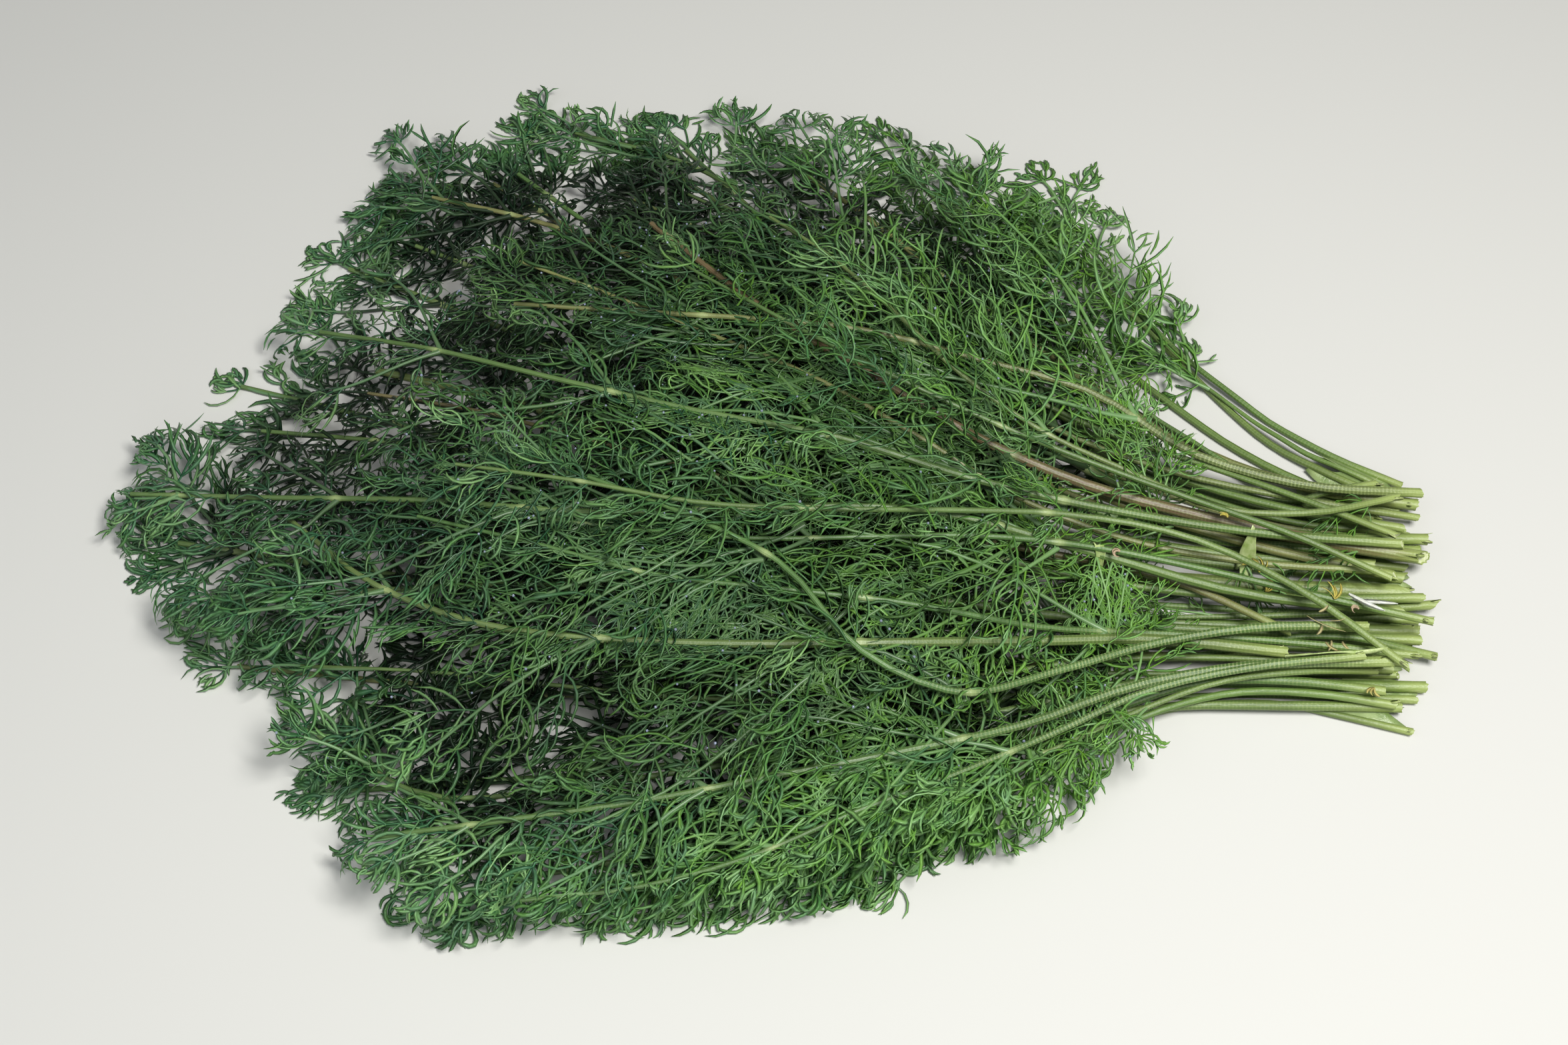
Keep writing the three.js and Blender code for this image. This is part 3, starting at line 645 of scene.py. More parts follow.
def stalk_material():
    """Green to tan skin with fine whitish ribs, rows of pale dashes, pale collars and a pale, wet end."""
    material, add = new_material("dill_stalk_skin")
    bloom = bloom_of(add, 70)
    along, east, north = (attribute(add, name) for name in ("along", "east", "north"))
    # Fibres run along the stalk: a noise that is long that way and narrow across it
    skin_place = add("ShaderNodeCombineXYZ", {"X": scaled(add, east, 1.3), "Y": scaled(add, north, 1.3),
                                              "Z": scaled(add, along, 0.07)})
    fibres = add("ShaderNodeTexNoise", {"Vector": skin_place.outputs[0], "Scale": 3.2, "Detail": 3})
    fibres = fibres.outputs["Fac"]
    fresh = mix(add, attribute(add, "pale"), colour(80, 122, 46), colour(126, 162, 76))
    among_leaves = mix(add, ramp(add, along, *AMONG_LEAVES, BLUISH), fresh, colour(90, 132, 74))
    faded = mix(add, attribute(add, "purple"), colour(156, 150, 96), colour(136, 100, 82))
    skin = mix(add, attribute(add, "faded"), among_leaves, faded)
    streaked = mix(add, ramp(add, fibres, 0.4, 0.65, 0.7), skin, mix(add, 0.6, skin, colour(54, 98, 36)))
    ridge = ramp(add, attribute(add, "ridge"), 0.1, 1)
    # The dashes lie in rows along the ribs and the grooves, each row a little out of step with the next
    rows = ramp(add, scaled(add, attribute(add, "ridge"), attribute(add, "ridge")), 0.02, 0.35)
    phase = scaled(add, along, math.tau / DASH_PITCH, scaled(add, east, 1.0, scaled(add, north, 1.5)))
    wobble = scaled(add, bloom["Mask"], 14.0, phase)
    steps = ramp(add, wave_of(add, wobble), 0.0, 0.5)
    broken = ramp(add, fibres, 0.34, 0.56)
    dashed = scaled(add, attribute(add, "dashed"), ramp(add, along, *DASHES_FADE))
    dash = scaled(add, scaled(add, steps, rows), scaled(add, broken, dashed))
    furrowed = mix(add, scaled(add, dashed, 0.55), streaked, colour(66, 104, 58))
    both = scaled(add, ridge, scaled(add, ramp(add, along, *RIDGES_FADE), 0.14, 0.18), dash)
    whitish = mix(add, both, furrowed, colour(192, 208, 142))
    patchy = mix(add, bloom["Mask"], colour(178, 178, 178), colour(255, 255, 255))
    mottled = mix(add, 1.0, whitish, patchy, "MULTIPLY")
    collared = mix(add, attribute(add, "collar"), mottled, colour(166, 182, 124))
    wet = mix(add, ramp(add, fibres, 0.3, 0.7), colour(134, 154, 74), colour(168, 182, 114))
    base = mix(add, attribute(add, "cut"), collared, wet)
    height = scaled(add, dash, 0.5, scaled(add, fibres, 0.6, bloom["Height"]))
    return finish_skin(material, add, base, height, 0.4, 0.0002, 0.42)


def pith_material():
    """The cut face: spongy whitish pith inside a greener rim."""
    material, add = new_material("dill_cut_face")
    mask = bloom_of(add, 900)["Mask"]
    face = mix(add, ramp(add, mask, 0.35, 0.7), colour(196, 208, 146), colour(226, 230, 196))
    return finish_skin(material, add, face, mask, 0.6, 0.0002, 0.32)


# The stems that show best: how faded, purple, pale and dashed each is, and how deep its ribs are
LOOKS = {
    16: (0.45, 0, 0.3, 0.2, 0.06),
    20: (0.8, 0.1, 0.2, 0.25, 0.1),
    27: (0.8, 0.8, 0.3, 0.1, 0.08),
    30: (0.1, 0, 0.5, 0.95, 0.12),
    31: (0.05, 0, 0.6, 0.95, 0.12),
    33: (0.3, 0.1, 0.35, 0.3, 0.11),
    34: (0.75, 0.1, 0.8, 0.25, 0.1),
    35: (0.9, 0.95, 0.3, 0.2, 0.1),
    36: (0.7, 0.15, 0.9, 0.8, 0.12),
    38: (0.0, 0, 0.5, 0.4, 0.1),
    41: (0.0, 0, 0.9, 1, 0.1),
    42: (0.35, 0, 0.9, 0.35, 0.08),
    43: (0.2, 0, 0.8, 0.25, 0.07),
}
stalk_skin = stalk_material()
pith = pith_material()
sweep_stalk = stalk_tree()


def look_of(stem, random):
    """A stem's own look, or one that is drawn."""
    if stem["index"] + 1 in LOOKS:
        return LOOKS[stem["index"] + 1]
    faded = random.uniform(*FADING[stem["colour"]])
    return faded, random.uniform(0, 0.3), random.uniform(0, 0.8), random.uniform(0.05, 0.4), RIB_DEPTH


def stalk_rings(stem, random, depth):
    """Rings of a stalk, closer together at its joints: their distances from the cut end, places and radii,
    and their distances from a joint."""
    run = np.append(0, np.cumsum(np.linalg.norm(np.diff(stem["line"], axis=0), axis=1)))
    total = run[-1]
    joints = np.array(stem["joints"]) * total
    near = (joints[:, None] + JOINT_RINGS).ravel()
    even = np.linspace(0, total, RINGS)
    if len(joints):
        even = even[np.abs(even[:, None] - joints).min(axis=1) > JOINT_RINGS[-1] + 1]
    at = np.unique(np.concatenate([[0, FIRST_RING, total], even, near[(near > 0) & (near < total)]]))
    line = smooth_line(stem["line"], FINE_LINE)
    fine_run = np.append(0, np.cumsum(np.linalg.norm(np.diff(line, axis=0), axis=1)))
    points = np.array([np.interp(at, fine_run * total / fine_run[-1], column) for column in line.T]).T
    off = np.abs(at[:, None] - joints).min(axis=1) if len(joints) else np.full(len(at), total)
    radii = np.interp(at, run, stem["radii"]) * (1 - SLIMMER * at / total)
    radii = radii * (1 + JOINT_SWELLING * np.exp(-(off / JOINT_WIDTH) ** 2)
                     + WAVER * (random.random(len(at)) - 0.5))
    points[:, 2] = np.maximum(points[:, 2], radii * (1 + depth))
    return at, points, radii, off


def cut_off(stalk, end, outward, radius, random):
    """Slants and frays the cut end, and sinks its spongy pith a little."""
    mesh = bmesh.new()
    mesh.from_mesh(stalk.data)
    caps = [face for face in mesh.faces if len(face.verts) > 4]
    face = min(caps, key=lambda cap: (cap.calc_center_median() - end).length)
    lean = Vector(random.normal(0, 1, 3)).cross(outward).normalized()
    slant = random.choice(SLANTS)
    for vert in face.verts:
        vert.co += outward * (slant * lean.dot(vert.co - end) + radius * random.uniform(*FRAYING))
    bmesh.ops.inset_individual(mesh, faces=[face], thickness=RIM * radius)
    for vert in face.verts:
        vert.co -= outward * PITH_SUNK * radius
    for vert in mesh.verts:
        vert.co.z = max(vert.co.z, 0)
    face.material_index = 1
    mesh.to_mesh(stalk.data)
    mesh.free()
    stalk.data.materials.append(pith)


for stem in stems:
    random = np.random.default_rng(100 + stem["index"])
    faded, purple, pale, dashed, depth = look_of(stem, random)
    at, points, radii, off = stalk_rings(stem, random, depth)
    mesh = skeleton("stalk_path", [{
        "points": (points - MIDDLE)[None],
        "thickness": radii * MM,
        "along": at,
        "collar": COLLAR_PALE * np.exp(-(off / COLLAR_WIDTH) ** 2),
        "cut": np.clip(WET_AT_CUT * np.exp(-at / WET_END), 0, WETTEST),
        "faded": faded,
        "purple": purple,
        "pale": pale,
        "dashed": dashed,
    }])
    number = f"{stem['index'] + 1:02d}"
    stem["shows"] = STEMS[stem["index"]][1] >= SHOWING_SHARE
    sides = RIBS * (SIDES_PER_RIB if stem["shows"] else SIDES_PER_HIDDEN_RIB)
    stalk = grown(f"stalk_{number}", mesh, sweep_stalk,
                  {"Sides": sides, "Rib Depth": depth, "Material": stalk_skin})
    ends = [Vector(point) for point in (points[:2] - MIDDLE) * MM]
    cut_off(stalk, ends[0], (ends[0] - ends[1]).normalized(), radii[0] * MM, random)
    stem["node"] = f"leafy_stem_{number}"
    stem["slot"] = f"{stem['colour']}_stem_and_fronds"
    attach(stalk, "root")
    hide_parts(stem["node"])

# Fronds
# Each frond has a thin rib, opposite pairs of leaflets and, on those, narrow soft blades a little under a
# millimetre wide that fork, arch over and hang. They are bluish green, and yellower where young.
LEAFLET_STEP = 11.4
FIRST_LEAFLET = 0.2
LAST_LEAFLET = 0.93
LEAFLET_SPREAD = 52
SPREAD_VARIES = (-12, 12)
LEAFLET_SHARE = 0.38
LEAFLETS_END = 1.3
SHORTEST_LEAFLET = 6
LEAST_LEAFLET = 4
LEAFLET_VARIES = (0.8, 1.2)
LEAFLET_RISE = (-25, 30)
LEAFLET_SWEEP = 0.35
LEAFLET_HANG = (0.1, 0.6)
END_LEAFLET = 0.12
BLADES_ALONG = (0.3, 0.8)
BLADE_SPREAD = 55
END_BLADE_SPREAD = 34
BLADE_SPREAD_VARIES = (-14, 14)
BLADE_RISE = (-15, 35)
BLADE_STEP = 5
BLADE_LENGTH = 14.5
BLADE_SIDES = 3
BLADE_RADIUS = 0.42
DEEP_BLADE_RADIUS = 0.56
BLADE_FLATNESS = 0.4
BLADE_WIDTH = 1.15
BLADE_SHAPE = ((0, 0.2, 0.6, 0.85, 1), (0.5, 0.9, 1, 0.72, 0.14))
FORKED = 0.62
DEEP_FORKED = 0.25
FORK_AT = (0.18, 0.5)
FORK_SPREAD = (22, 42)
FORK_RISE = (-30, 30)
FORK_VARIES = (0.75, 1.15)
FORK_GIRTH = 0.9
ARCH = (1.2, 2.5)
SWEEP_OF_ARCH = (0.4, 1.1)
HANG_OF_ARCH = (0, 0.7)
# How far the arches stray together and each on its own, and how the blades vary
STRAYING = (0.3, 0.12)
ARCH_VARIES = (0.6, 1.3)
LENGTH_VARIES = (0.6, 1.25)
GIRTH_VARIES = (0.75, 1.2)
TWIST = 0.35
ON_TOP = 0.25
LARGER_ON_TOP = 1.3
MOST_OUTSIDE = 5.0
SHORTEST_CUT = 0.6
RIB_RADIUS = 0.42
RIB_SIDES = 5
RIB_POINTS = 9
RIB_WAVE = 0.035
CLASP = 3.0
FROND_CLASP = 0.3
SHOOT_CLASP = 0.1
WOODY_LENGTH = 14
LOWEST = 0.4
OFF_TABLE = 1.2
DEPTH_FROM = 1.1
DEPTH_POWER = 1.3
DEEP = 0.5
LEFT_OUT_DEEP = 0.2
OPEN_AMONG_STALKS = 0.65
OPENING = (55, 110)
EDGE = (2, 42)
EDGE_DEPTH = 0.1
EDGE_WIDER = 0.25
# How much tone and youth vary from frond to frond, leaflet to leaflet and blade to blade
TONE = (0.2, 0.16, 0.08)
YOUNG_VARIES = (0.16, 0.07, 0.1)
VALLEY_SLOPE = 0.45
VALLEY_STEP = 3.0
VALLEY_WIDTH = 40
VALLEY_POINTS = 60
VALLEY_ALONG = (-215, 185)
VALLEY_ACROSS = (-135, 200)
BELOW_STEM = 0.5
CROSSING = 0.2
YOUNG = 0.3
YOUNGER_OVER = 280
STEM_TIP = 0.93
TIP_LENGTH = 30
SHORTENED_TIP = (14, 30)
TIP_DROOP = 0.06


def frond_tree():
    """Sweeps a round rib along the strands that are ribs and a flat, keeled blade along the others."""
    tree, add, into, out = geometry_tree("grow_fronds", [
        ("Rib Sides", "NodeSocketInt", RIB_SIDES), ("Blade Sides", "NodeSocketInt", BLADE_SIDES),
        ("Blade Flatness", "NodeSocketFloat", BLADE_FLATNESS), ("Material", "NodeSocketMaterial", None)])
    strands = add("GeometryNodeMeshToCurve", {"Mesh": into.outputs["Geometry"]})
    links = {"Curve": strands.outputs["Curve"], "Tilt": named(add, "twist")}
    twisted = add("GeometryNodeSetCurveTilt", links)
    is_rib = add("FunctionNodeCompare", {0: named(add, "rib"), 1: 0.5}, data_type="FLOAT",
                 operation="GREATER_THAN")
    links = {"Geometry": twisted.outputs[0], "Selection": is_rib.outputs[0]}
    parted = add("GeometryNodeSeparateGeometry", links, domain="CURVE")
    both = add("GeometryNodeJoinGeometry")
    for part, sides in (("Selection", "Rib Sides"), ("Inverted", "Blade Sides")):
        section = add("GeometryNodeCurvePrimitiveCircle", {"Resolution": into.outputs[sides], "Radius": 1})
        profile = section.outputs["Curve"]
        if part == "Inverted":
            # Flat side down, keel up
            size = {"X": into.outputs["Blade Flatness"], "Y": BLADE_WIDTH, "Z": 1.0}
            squash = add("ShaderNodeCombineXYZ", size)
            flat = add("GeometryNodeTransform", {"Geometry": profile, "Scale": squash.outputs[0]})
            quarter_turn = {"Geometry": flat.outputs[0], "Rotation": (0, 0, math.radians(90))}
            profile = add("GeometryNodeTransform", quarter_turn).outputs["Geometry"]
        tube = add("GeometryNodeCurveToMesh", {
            "Curve": parted.outputs[part], "Profile Curve": profile,
            "Scale": named(add, "thickness"), "Fill Caps": True})
        tree.links.new(tube.outputs["Mesh"], both.inputs[0])
    return end_tree(tree, add, into, out, both.outputs[0])


def frond_material():
    """Bluish green, waxy blades, yellower where young, on pale ribs, with painted shade deep in the pile.
    """
    material, add = new_material("dill_frond_skin")
    bloom = bloom_of(add, 240)
    young = attribute(add, "young")
    green = mix(add, young, colour(50, 102, 70), colour(110, 162, 52))
    tone = attribute(add, "tone")
    shaded = mix(add, ramp(add, tone, 0.5, 0), green, mix(add, 0.5, green, colour(16, 50, 30)))
    leaf = mix(add, ramp(add, tone, 0.5, 1), shaded, mix(add, 0.65, shaded, colour(148, 190, 124)))
    tipped = mix(add, attribute(add, "tip"), leaf, mix(add, 0.35, leaf, colour(124, 170, 88)))
    waxed = mix(add, ramp(add, bloom["Mask"], 0.45, 0.75, 0.45), tipped, colour(122, 160, 130))
    ribbed = mix(add, attribute(add, "woody"), waxed, colour(118, 152, 100))
    # Painted shade: blades deep in the pile are darkened towards a near black green, standing in for the
    # shade among the foliage. Young shoots are left bright even low down
    depth = scaled(add, ramp(add, attribute(add, "pile_depth_and_painted_shade"), 0.06, 0.5), ramp(add, young, 1.1, 0.6))
    painted_deep_shade = mix(add, depth, ribbed, mix(add, 0.9, ribbed, colour(5, 20, 8)))
    return finish_skin(material, add, painted_deep_shade, bloom["Height"], 0.2, 0.0001, 0.37)


def pile_depth_and_painted_shade(points):
    """How deep points lie in the pile, from 0 at its top to 1 on the table. It is less at the pile's edge
    and where the stalks open out. The fronds' material darkens blades by it as painted shade, and it also
    decides which leaflets are plainer and which larger."""
    top = pile_height(points[..., 0], points[..., 1]) + FLUFF
    opened = 1 - OPEN_AMONG_STALKS * ease(points[..., 0], *OPENING)
    within = EDGE_DEPTH + (1 - EDGE_DEPTH) * ease(-past_outline(points), *EDGE)
    return within * opened * np.clip(DEPTH_FROM - points[..., 2] / top, 0, 1) ** DEPTH_POWER


# The stems on top lie in the foliage as in shallow valleys: leaflets near one keep below it
showing = np.vstack([smooth_line(stem["line"], VALLEY_POINTS) for stem in stems if stem["shows"]])
valley_x = np.arange(*VALLEY_ALONG, VALLEY_STEP)
valley_y = np.arange(*VALLEY_ACROSS, VALLEY_STEP)


def valley_heights():
    """Greatest height of the foliage at each place of a grid, for the stems on top to show."""
    grid = np.stack(np.meshgrid(valley_x, valley_y, indexing="ij"), axis=-1)
    away = np.linalg.norm(grid[:, :, None] - showing[:, :2], axis=-1)
    open_above = 1000 * (away > VALLEY_WIDTH)
    return (showing[:, 2] - BELOW_STEM + VALLEY_SLOPE * away + open_above).min(axis=-1)


valley = valley_heights()


def keep_below(points):
    """Lowers points to the valleys' height."""
    fx = np.clip((points[..., 0] - valley_x[0]) / VALLEY_STEP, 0, len(valley_x) - 1.001)
    fy = np.clip((points[..., 1] - valley_y[0]) / VALLEY_STEP, 0, len(valley_y) - 1.001)
    i, j = fx.astype(int), fy.astype(int)
    u, v = fx - i, fy - j
    top = ((valley[i, j] * (1 - u) + valley[i + 1, j] * u) * (1 - v)
           + (valley[i, j + 1] * (1 - u) + valley[i + 1, j + 1] * u) * v)
    points[..., 2] = np.minimum(points[..., 2], top)


def put(strands, points, radii, young, tip=0.0, woody=0.0, rib=0.0, twist=0.0, tone=0.5, low=True):
    """Adds strands with what their material needs. They keep off the table, and low ones in the valleys."""
    if low:
        keep_below(points)
    points[..., 2] = np.maximum(points[..., 2], np.maximum(LOWEST, OFF_TABLE * radii))
    # The depth in the pile goes to the material, which paints shade with it
    strands.append({"points": points - MIDDLE, "thickness": radii * MM, "young": young, "tip": tip,
                    "woody": woody, "rib": rib, "twist": twist, "tone": tone, "pile_depth_and_painted_shade": pile_depth_and_painted_shade(points)})


def fan_out(axes, away, rise):
    """Ways that lean `away` degrees to the side of an axis, and out of its plane by `rise`."""
    along, side, up = axes
    away, rise = np.radians(away)[..., None], np.radians(rise)[..., None]
    sideways = side * np.sin(away) * np.cos(rise)
    return along * np.cos(away) + sideways + up * np.abs(np.sin(away)) * np.sin(rise)


def arc_points(root, out, inward, angle, reach, share):
    """Points of arcs that set off along `out` and turn towards `inward` by an angle over their length."""
    turn = angle[:, None, None] * share[:, None]
    return root[:, None] + (reach / angle)[:, None, None] * (
        out[:, None] * np.sin(turn) + inward[:, None] * (1 - np.cos(turn)))


def put_blades(strands, root, out, inward, angle, reach, girth, shade, tip, twist, tone, count, low):
    """Blades that arch, cut short where they would hang far out of the bunch."""
    out_by = past_outline(arc_points(root, out, inward, angle, reach, np.ones(1)))[:, 0]
    reach = np.maximum(SHORTEST_CUT * reach, reach - np.maximum(0, out_by - MOST_OUTSIDE))
    girth = girth * (1 + EDGE_WIDER * (1 - ease(-out_by, *EDGE)))
    share = np.linspace(0, 1, count)
    put(strands, arc_points(root, out, inward, angle, reach, share),
        girth[:, None] * np.interp(share, *BLADE_SHAPE), shade[:, None],
        tip + (1 - tip) * share, twist=twist[:, None], tone=tone[:, None], low=low)


def grow_leaflet(strands, random, root, way, sweep, length, young, thin, tone=0.5, crossing=CROSSING):
    """A leaflet's rib, its blades in opposite pairs and three at its tip, which all arch the same way. Deep
    in the pile, where little of them shows, the blades are plainer."""
    is_deep = pile_depth_and_painted_shade(root) > DEEP
    if is_deep and random.random() < LEFT_OUT_DEEP:
        return
    larger = LARGER_ON_TOP if pile_depth_and_painted_shade(root) < ON_TOP else 1.0
    low = random.random() > crossing
    bend = sweep * LEAFLET_SWEEP - UP * random.uniform(*LEAFLET_HANG)
    length = max(LEAST_LEAFLET, length - max(0, past_outline(root + length * (way + bend))))
    u = np.linspace(0, 1, 3 if is_deep else 5)[:, None]
    radius = (DEEP_BLADE_RADIUS if is_deep else BLADE_RADIUS) * thin
    rib = (root + length * (way * u + bend * u * u))[None]
    put(strands, rib, radius * (0.8 - 0.2 * u.T), young, 0.1, low=low)
    pairs = int(np.clip(round(length / BLADE_STEP), 1, 2 if is_deep else 3))
    v = np.append(np.repeat(np.linspace(*BLADES_ALONG, pairs), 2), [1, 1, 1])
    hand = np.append(np.tile([-1, 1], pairs), [-1, 0, 1])
    away = hand * np.where(v < 1, BLADE_SPREAD, END_BLADE_SPREAD)
    away = away + random.uniform(*BLADE_SPREAD_VARIES, len(v))
    axes = axes_of(way + 2 * bend * v[:, None])
    out = fan_out(axes, away, random.uniform(*BLADE_RISE, len(v)))
    base = root + length * (way * v[:, None] + bend * v[:, None] ** 2)
    towards = (axes[0] + sweep) * random.uniform(*SWEEP_OF_ARCH) - UP * random.uniform(*HANG_OF_ARCH)
    towards = towards + random.normal(0, STRAYING[0], 3) + random.normal(0, STRAYING[1], (len(v), 3))
    inward = unit(towards - out * (towards * out).sum(axis=1, keepdims=True))
    arch = random.uniform(*ARCH)
    angle = arch * random.uniform(*ARCH_VARIES, len(v))
    count = 4 if is_deep else 5 + (arch > 1.5) + (arch > 2)
    reach = BLADE_LENGTH * thin * larger * (0.6 + 0.018 * length) * (1.2 - 0.45 * v)
    reach = reach * random.uniform(*LENGTH_VARIES, len(v))
    girth = radius * random.uniform(*GIRTH_VARIES, len(v))
    shade = np.clip(young + random.normal(0, YOUNG_VARIES[2], len(v)), 0, 1)
    twist = random.normal(0, TWIST, len(v))
    tone = tone + random.normal(0, TONE[1]) + random.normal(0, TONE[2], len(v))
    put_blades(strands, base, out, inward, angle, reach, girth, shade, 0.0, twist, tone, count, low)
    forked = random.random(len(v)) < (DEEP_FORKED if is_deep else FORKED)
    if forked.any():
        out, inward, angle, reach = out[forked], inward[forked], angle[forked], reach[forked]
        start = random.uniform(*FORK_AT, forked.sum())
        fork = arc_points(base[forked], out, inward, angle, reach * start, np.ones(1))[:, 0]
        turned = (angle * start)[:, None]
        onward = out * np.cos(turned) + inward * np.sin(turned)
        hand = np.where(random.random(forked.sum()) < 0.5, -1, 1)
        side = hand * random.uniform(*FORK_SPREAD, forked.sum())
        out2 = fan_out(axes_of(onward), side, random.uniform(*FORK_RISE, forked.sum()))
        inward2 = unit(inward - out2 * (inward * out2).sum(axis=1, keepdims=True))
        reach = reach * (1 - start) * random.uniform(*FORK_VARIES, forked.sum())
        put_blades(strands, fork, out2, inward2, angle * (1 - start), reach, FORK_GIRTH * girth[forked],
                   shade[forked], 0.3, twist[forked], tone[forked], 3 if is_deep else 4, low)


def rib_point(frond, s):
    """Points of a frond's rib, which winds a little to either side."""
    share = np.asarray(s, float)[..., None] / frond["length"]
    side = axes_of(frond["along"])[1]
    return frond_point(frond, s) + side * (RIB_WAVE * frond["length"] * share
                                           * np.sin(frond["wave"] + 5.5 * share))


def leaf_out(strands, random, frond, young, clasp, thin=1.0):
    """A frond's rib and its pairs of leaflets, which end in one that goes on along the rib."""
    length = frond["length"]
    frond["wave"] = random.uniform(0, math.tau)
    tone = 0.5 + random.normal(0, TONE[0])
    share = np.linspace(0, 1, RIB_POINTS)
    rib = rib_point(frond, share * length)
    radii = (RIB_RADIUS + 0.004 * length * (1 - share)) * thin + clasp * np.exp(-share * length / CLASP)
    woody = 0.45 + 0.4 * np.exp(-share * length / WOODY_LENGTH)
    put(strands, rib[None], radii[None], young, 0.0, woody[None], 1.0)
    pairs = int(np.clip(round(length / LEAFLET_STEP), 2, 6))
    for a in np.linspace(FIRST_LEAFLET, LAST_LEAFLET, pairs):
        root = rib_point(frond, a * length)
        axes = axes_of(frond["along"] + 2 * a * frond["bend"])
        for hand in (-1, 1):
            reach = length * LEAFLET_SHARE * (LEAFLETS_END - a) * random.uniform(*LEAFLET_VARIES)
            reach = max(SHORTEST_LEAFLET, reach)
            away = hand * (LEAFLET_SPREAD + random.uniform(*SPREAD_VARIES))
            way = fan_out(axes, np.array(away), np.array(random.uniform(*LEAFLET_RISE)))
            tint = np.clip(young + random.normal(0, YOUNG_VARIES[1]), 0, 1)
            grow_leaflet(strands, random, root, way, axes[0], reach, tint, thin, tone)
    onward = axes_of(frond["along"] + 2 * frond["bend"])[0]
    reach = max(SHORTEST_LEAFLET, END_LEAFLET * length)
    grow_leaflet(strands, random, rib_point(frond, length), onward, onward, reach, young, thin, tone)


# Small young shoots of fine, bright green threads among the stalks: for each stem their distances from its
# cut end, azimuths, rises and lengths
SHOOTS = {
    13: [(66, 200, 30, 20)],
    15: [(88, 170, 40, 20)],
    19: [(72, 220, 60, 18)],
    21: [(68, 200, 35, 20), (76, 150, 45, 22)],
    22: [(86, 200, 40, 20)],
    23: [(80, 250, 20, 18)],
    25: [(62, 230, 20, 20)],
    26: [(66, 60, 50, 18)],
    28: [(80, 130, 35, 22)],
    32: [(78, 250, 10, 16)],
    34: [(36, 300, -20, 8)],
    35: [(74, 100, 40, 24), (86, 215, 30, 22)],
    39: [(10, 205, 5, 12), (62, 200, 25, 18)],
    42: [(6, 195, 0, 11), (80, 80, 30, 18)],
    54: [(58, 170, 12, 16), (70, 190, 30, 18)],
}
SHOOT_THIN = 0.72
SHOOT_DROOP = 0.25
SHOOT_YOUNG = (0.75, 1)
# More fronds where the foliage is thin, at its edge and near the tips: for each stem their distances from
# its tip, azimuths, rises and lengths
EDGE_FRONDS = {
    12: [(4, 205, 4, 16), (12, 70, 6, 12), (20, 200, 6, 14), (30, 75, 8, 12)],
    4: [(34, 255, 8, 24), (52, 275, 10, 26)],
    8: [(14, 245, 8, 24), (30, 225, 8, 22)],
    15: [(12, 95, 8, 22), (28, 75, 10, 24), (44, 60, 12, 24)],
    18: [(12, 45, 8, 22), (26, 70, 10, 24)],
    24: [(6, 140, -3, 22)],
    51: [(2, 95, 12, 18), (9, 155, 12, 16)],
    26: [(4, 122, -6, 35), (20, 170, -4, 34)],
}
EDGE_DROOP = 0.05
# About half of the stems bear one more shoot, drawn from these
COMMON_SHOOTS = 0.5
COMMON_PLACE = (66, 92)
COMMON_TURN = (65, 150)
COMMON_RISE = (5, 45)
COMMON_LENGTH = (15, 26)
# Between their fronds the stems on top bear pairs of leaflets, which arch over them
TOP_LEAFY_FROM = 92
TOP_LEAFLET_STEP = (13, 21)
TOP_LEAFLET_LENGTH = (8, 13)
TOP_LEAFLET_RISE = (-15, 50)
TOP_SPREAD_VARIES = (-16, 16)
TOP_YOUNG = 0.35
TOP_YOUNG_VARIES = 0.1


def put_top_leaflets(strands, random, stem, total):
    """Pairs of leaflets at uneven steps along a stem on top."""
    at = TOP_LEAFY_FROM + random.uniform(0, TOP_LEAFLET_STEP[1])
    while at < total - LAST_NODE:
        root, axes = station_of(stem["line"], at / total)
        young = young_at(root, random.normal(0, TOP_YOUNG_VARIES), TOP_YOUNG)
        for hand in (-1, 1):
            away = hand * (LEAFLET_SPREAD + random.uniform(*TOP_SPREAD_VARIES))
            way = fan_out(axes, np.array(away), np.array(random.uniform(*TOP_LEAFLET_RISE)))
            length = random.uniform(*TOP_LEAFLET_LENGTH) * (1 - 0.3 * at / total)
            grow_leaflet(strands, random, root, way, axes[0], length, young, 1.0, crossing=1)
        at += random.uniform(*TOP_LEAFLET_STEP)


def shoots_of(number, random):
    """The shoots of a stem: those given for it, and on some stems one more where the foliage begins."""
    common = (random.uniform(*COMMON_PLACE), random.choice([-1, 1]) * random.uniform(*COMMON_TURN),
              random.uniform(*COMMON_RISE), random.uniform(*COMMON_LENGTH))
    return SHOOTS.get(number, []) + ([common] if random.random() < COMMON_SHOOTS else [])


def young_at(root, change=0.0, least=YOUNG):
    """How young the leaves are at a place, more so towards the cut ends."""
    return np.clip(least + root[0] / YOUNGER_OVER + change, 0, 1)


def way_towards(azimuth, rise):
    """The way at an azimuth and a rise in degrees."""
    turn, rise = math.radians(azimuth), math.radians(rise)
    return np.array([math.cos(turn) * math.cos(rise), math.sin(turn) * math.cos(rise), math.sin(rise)])


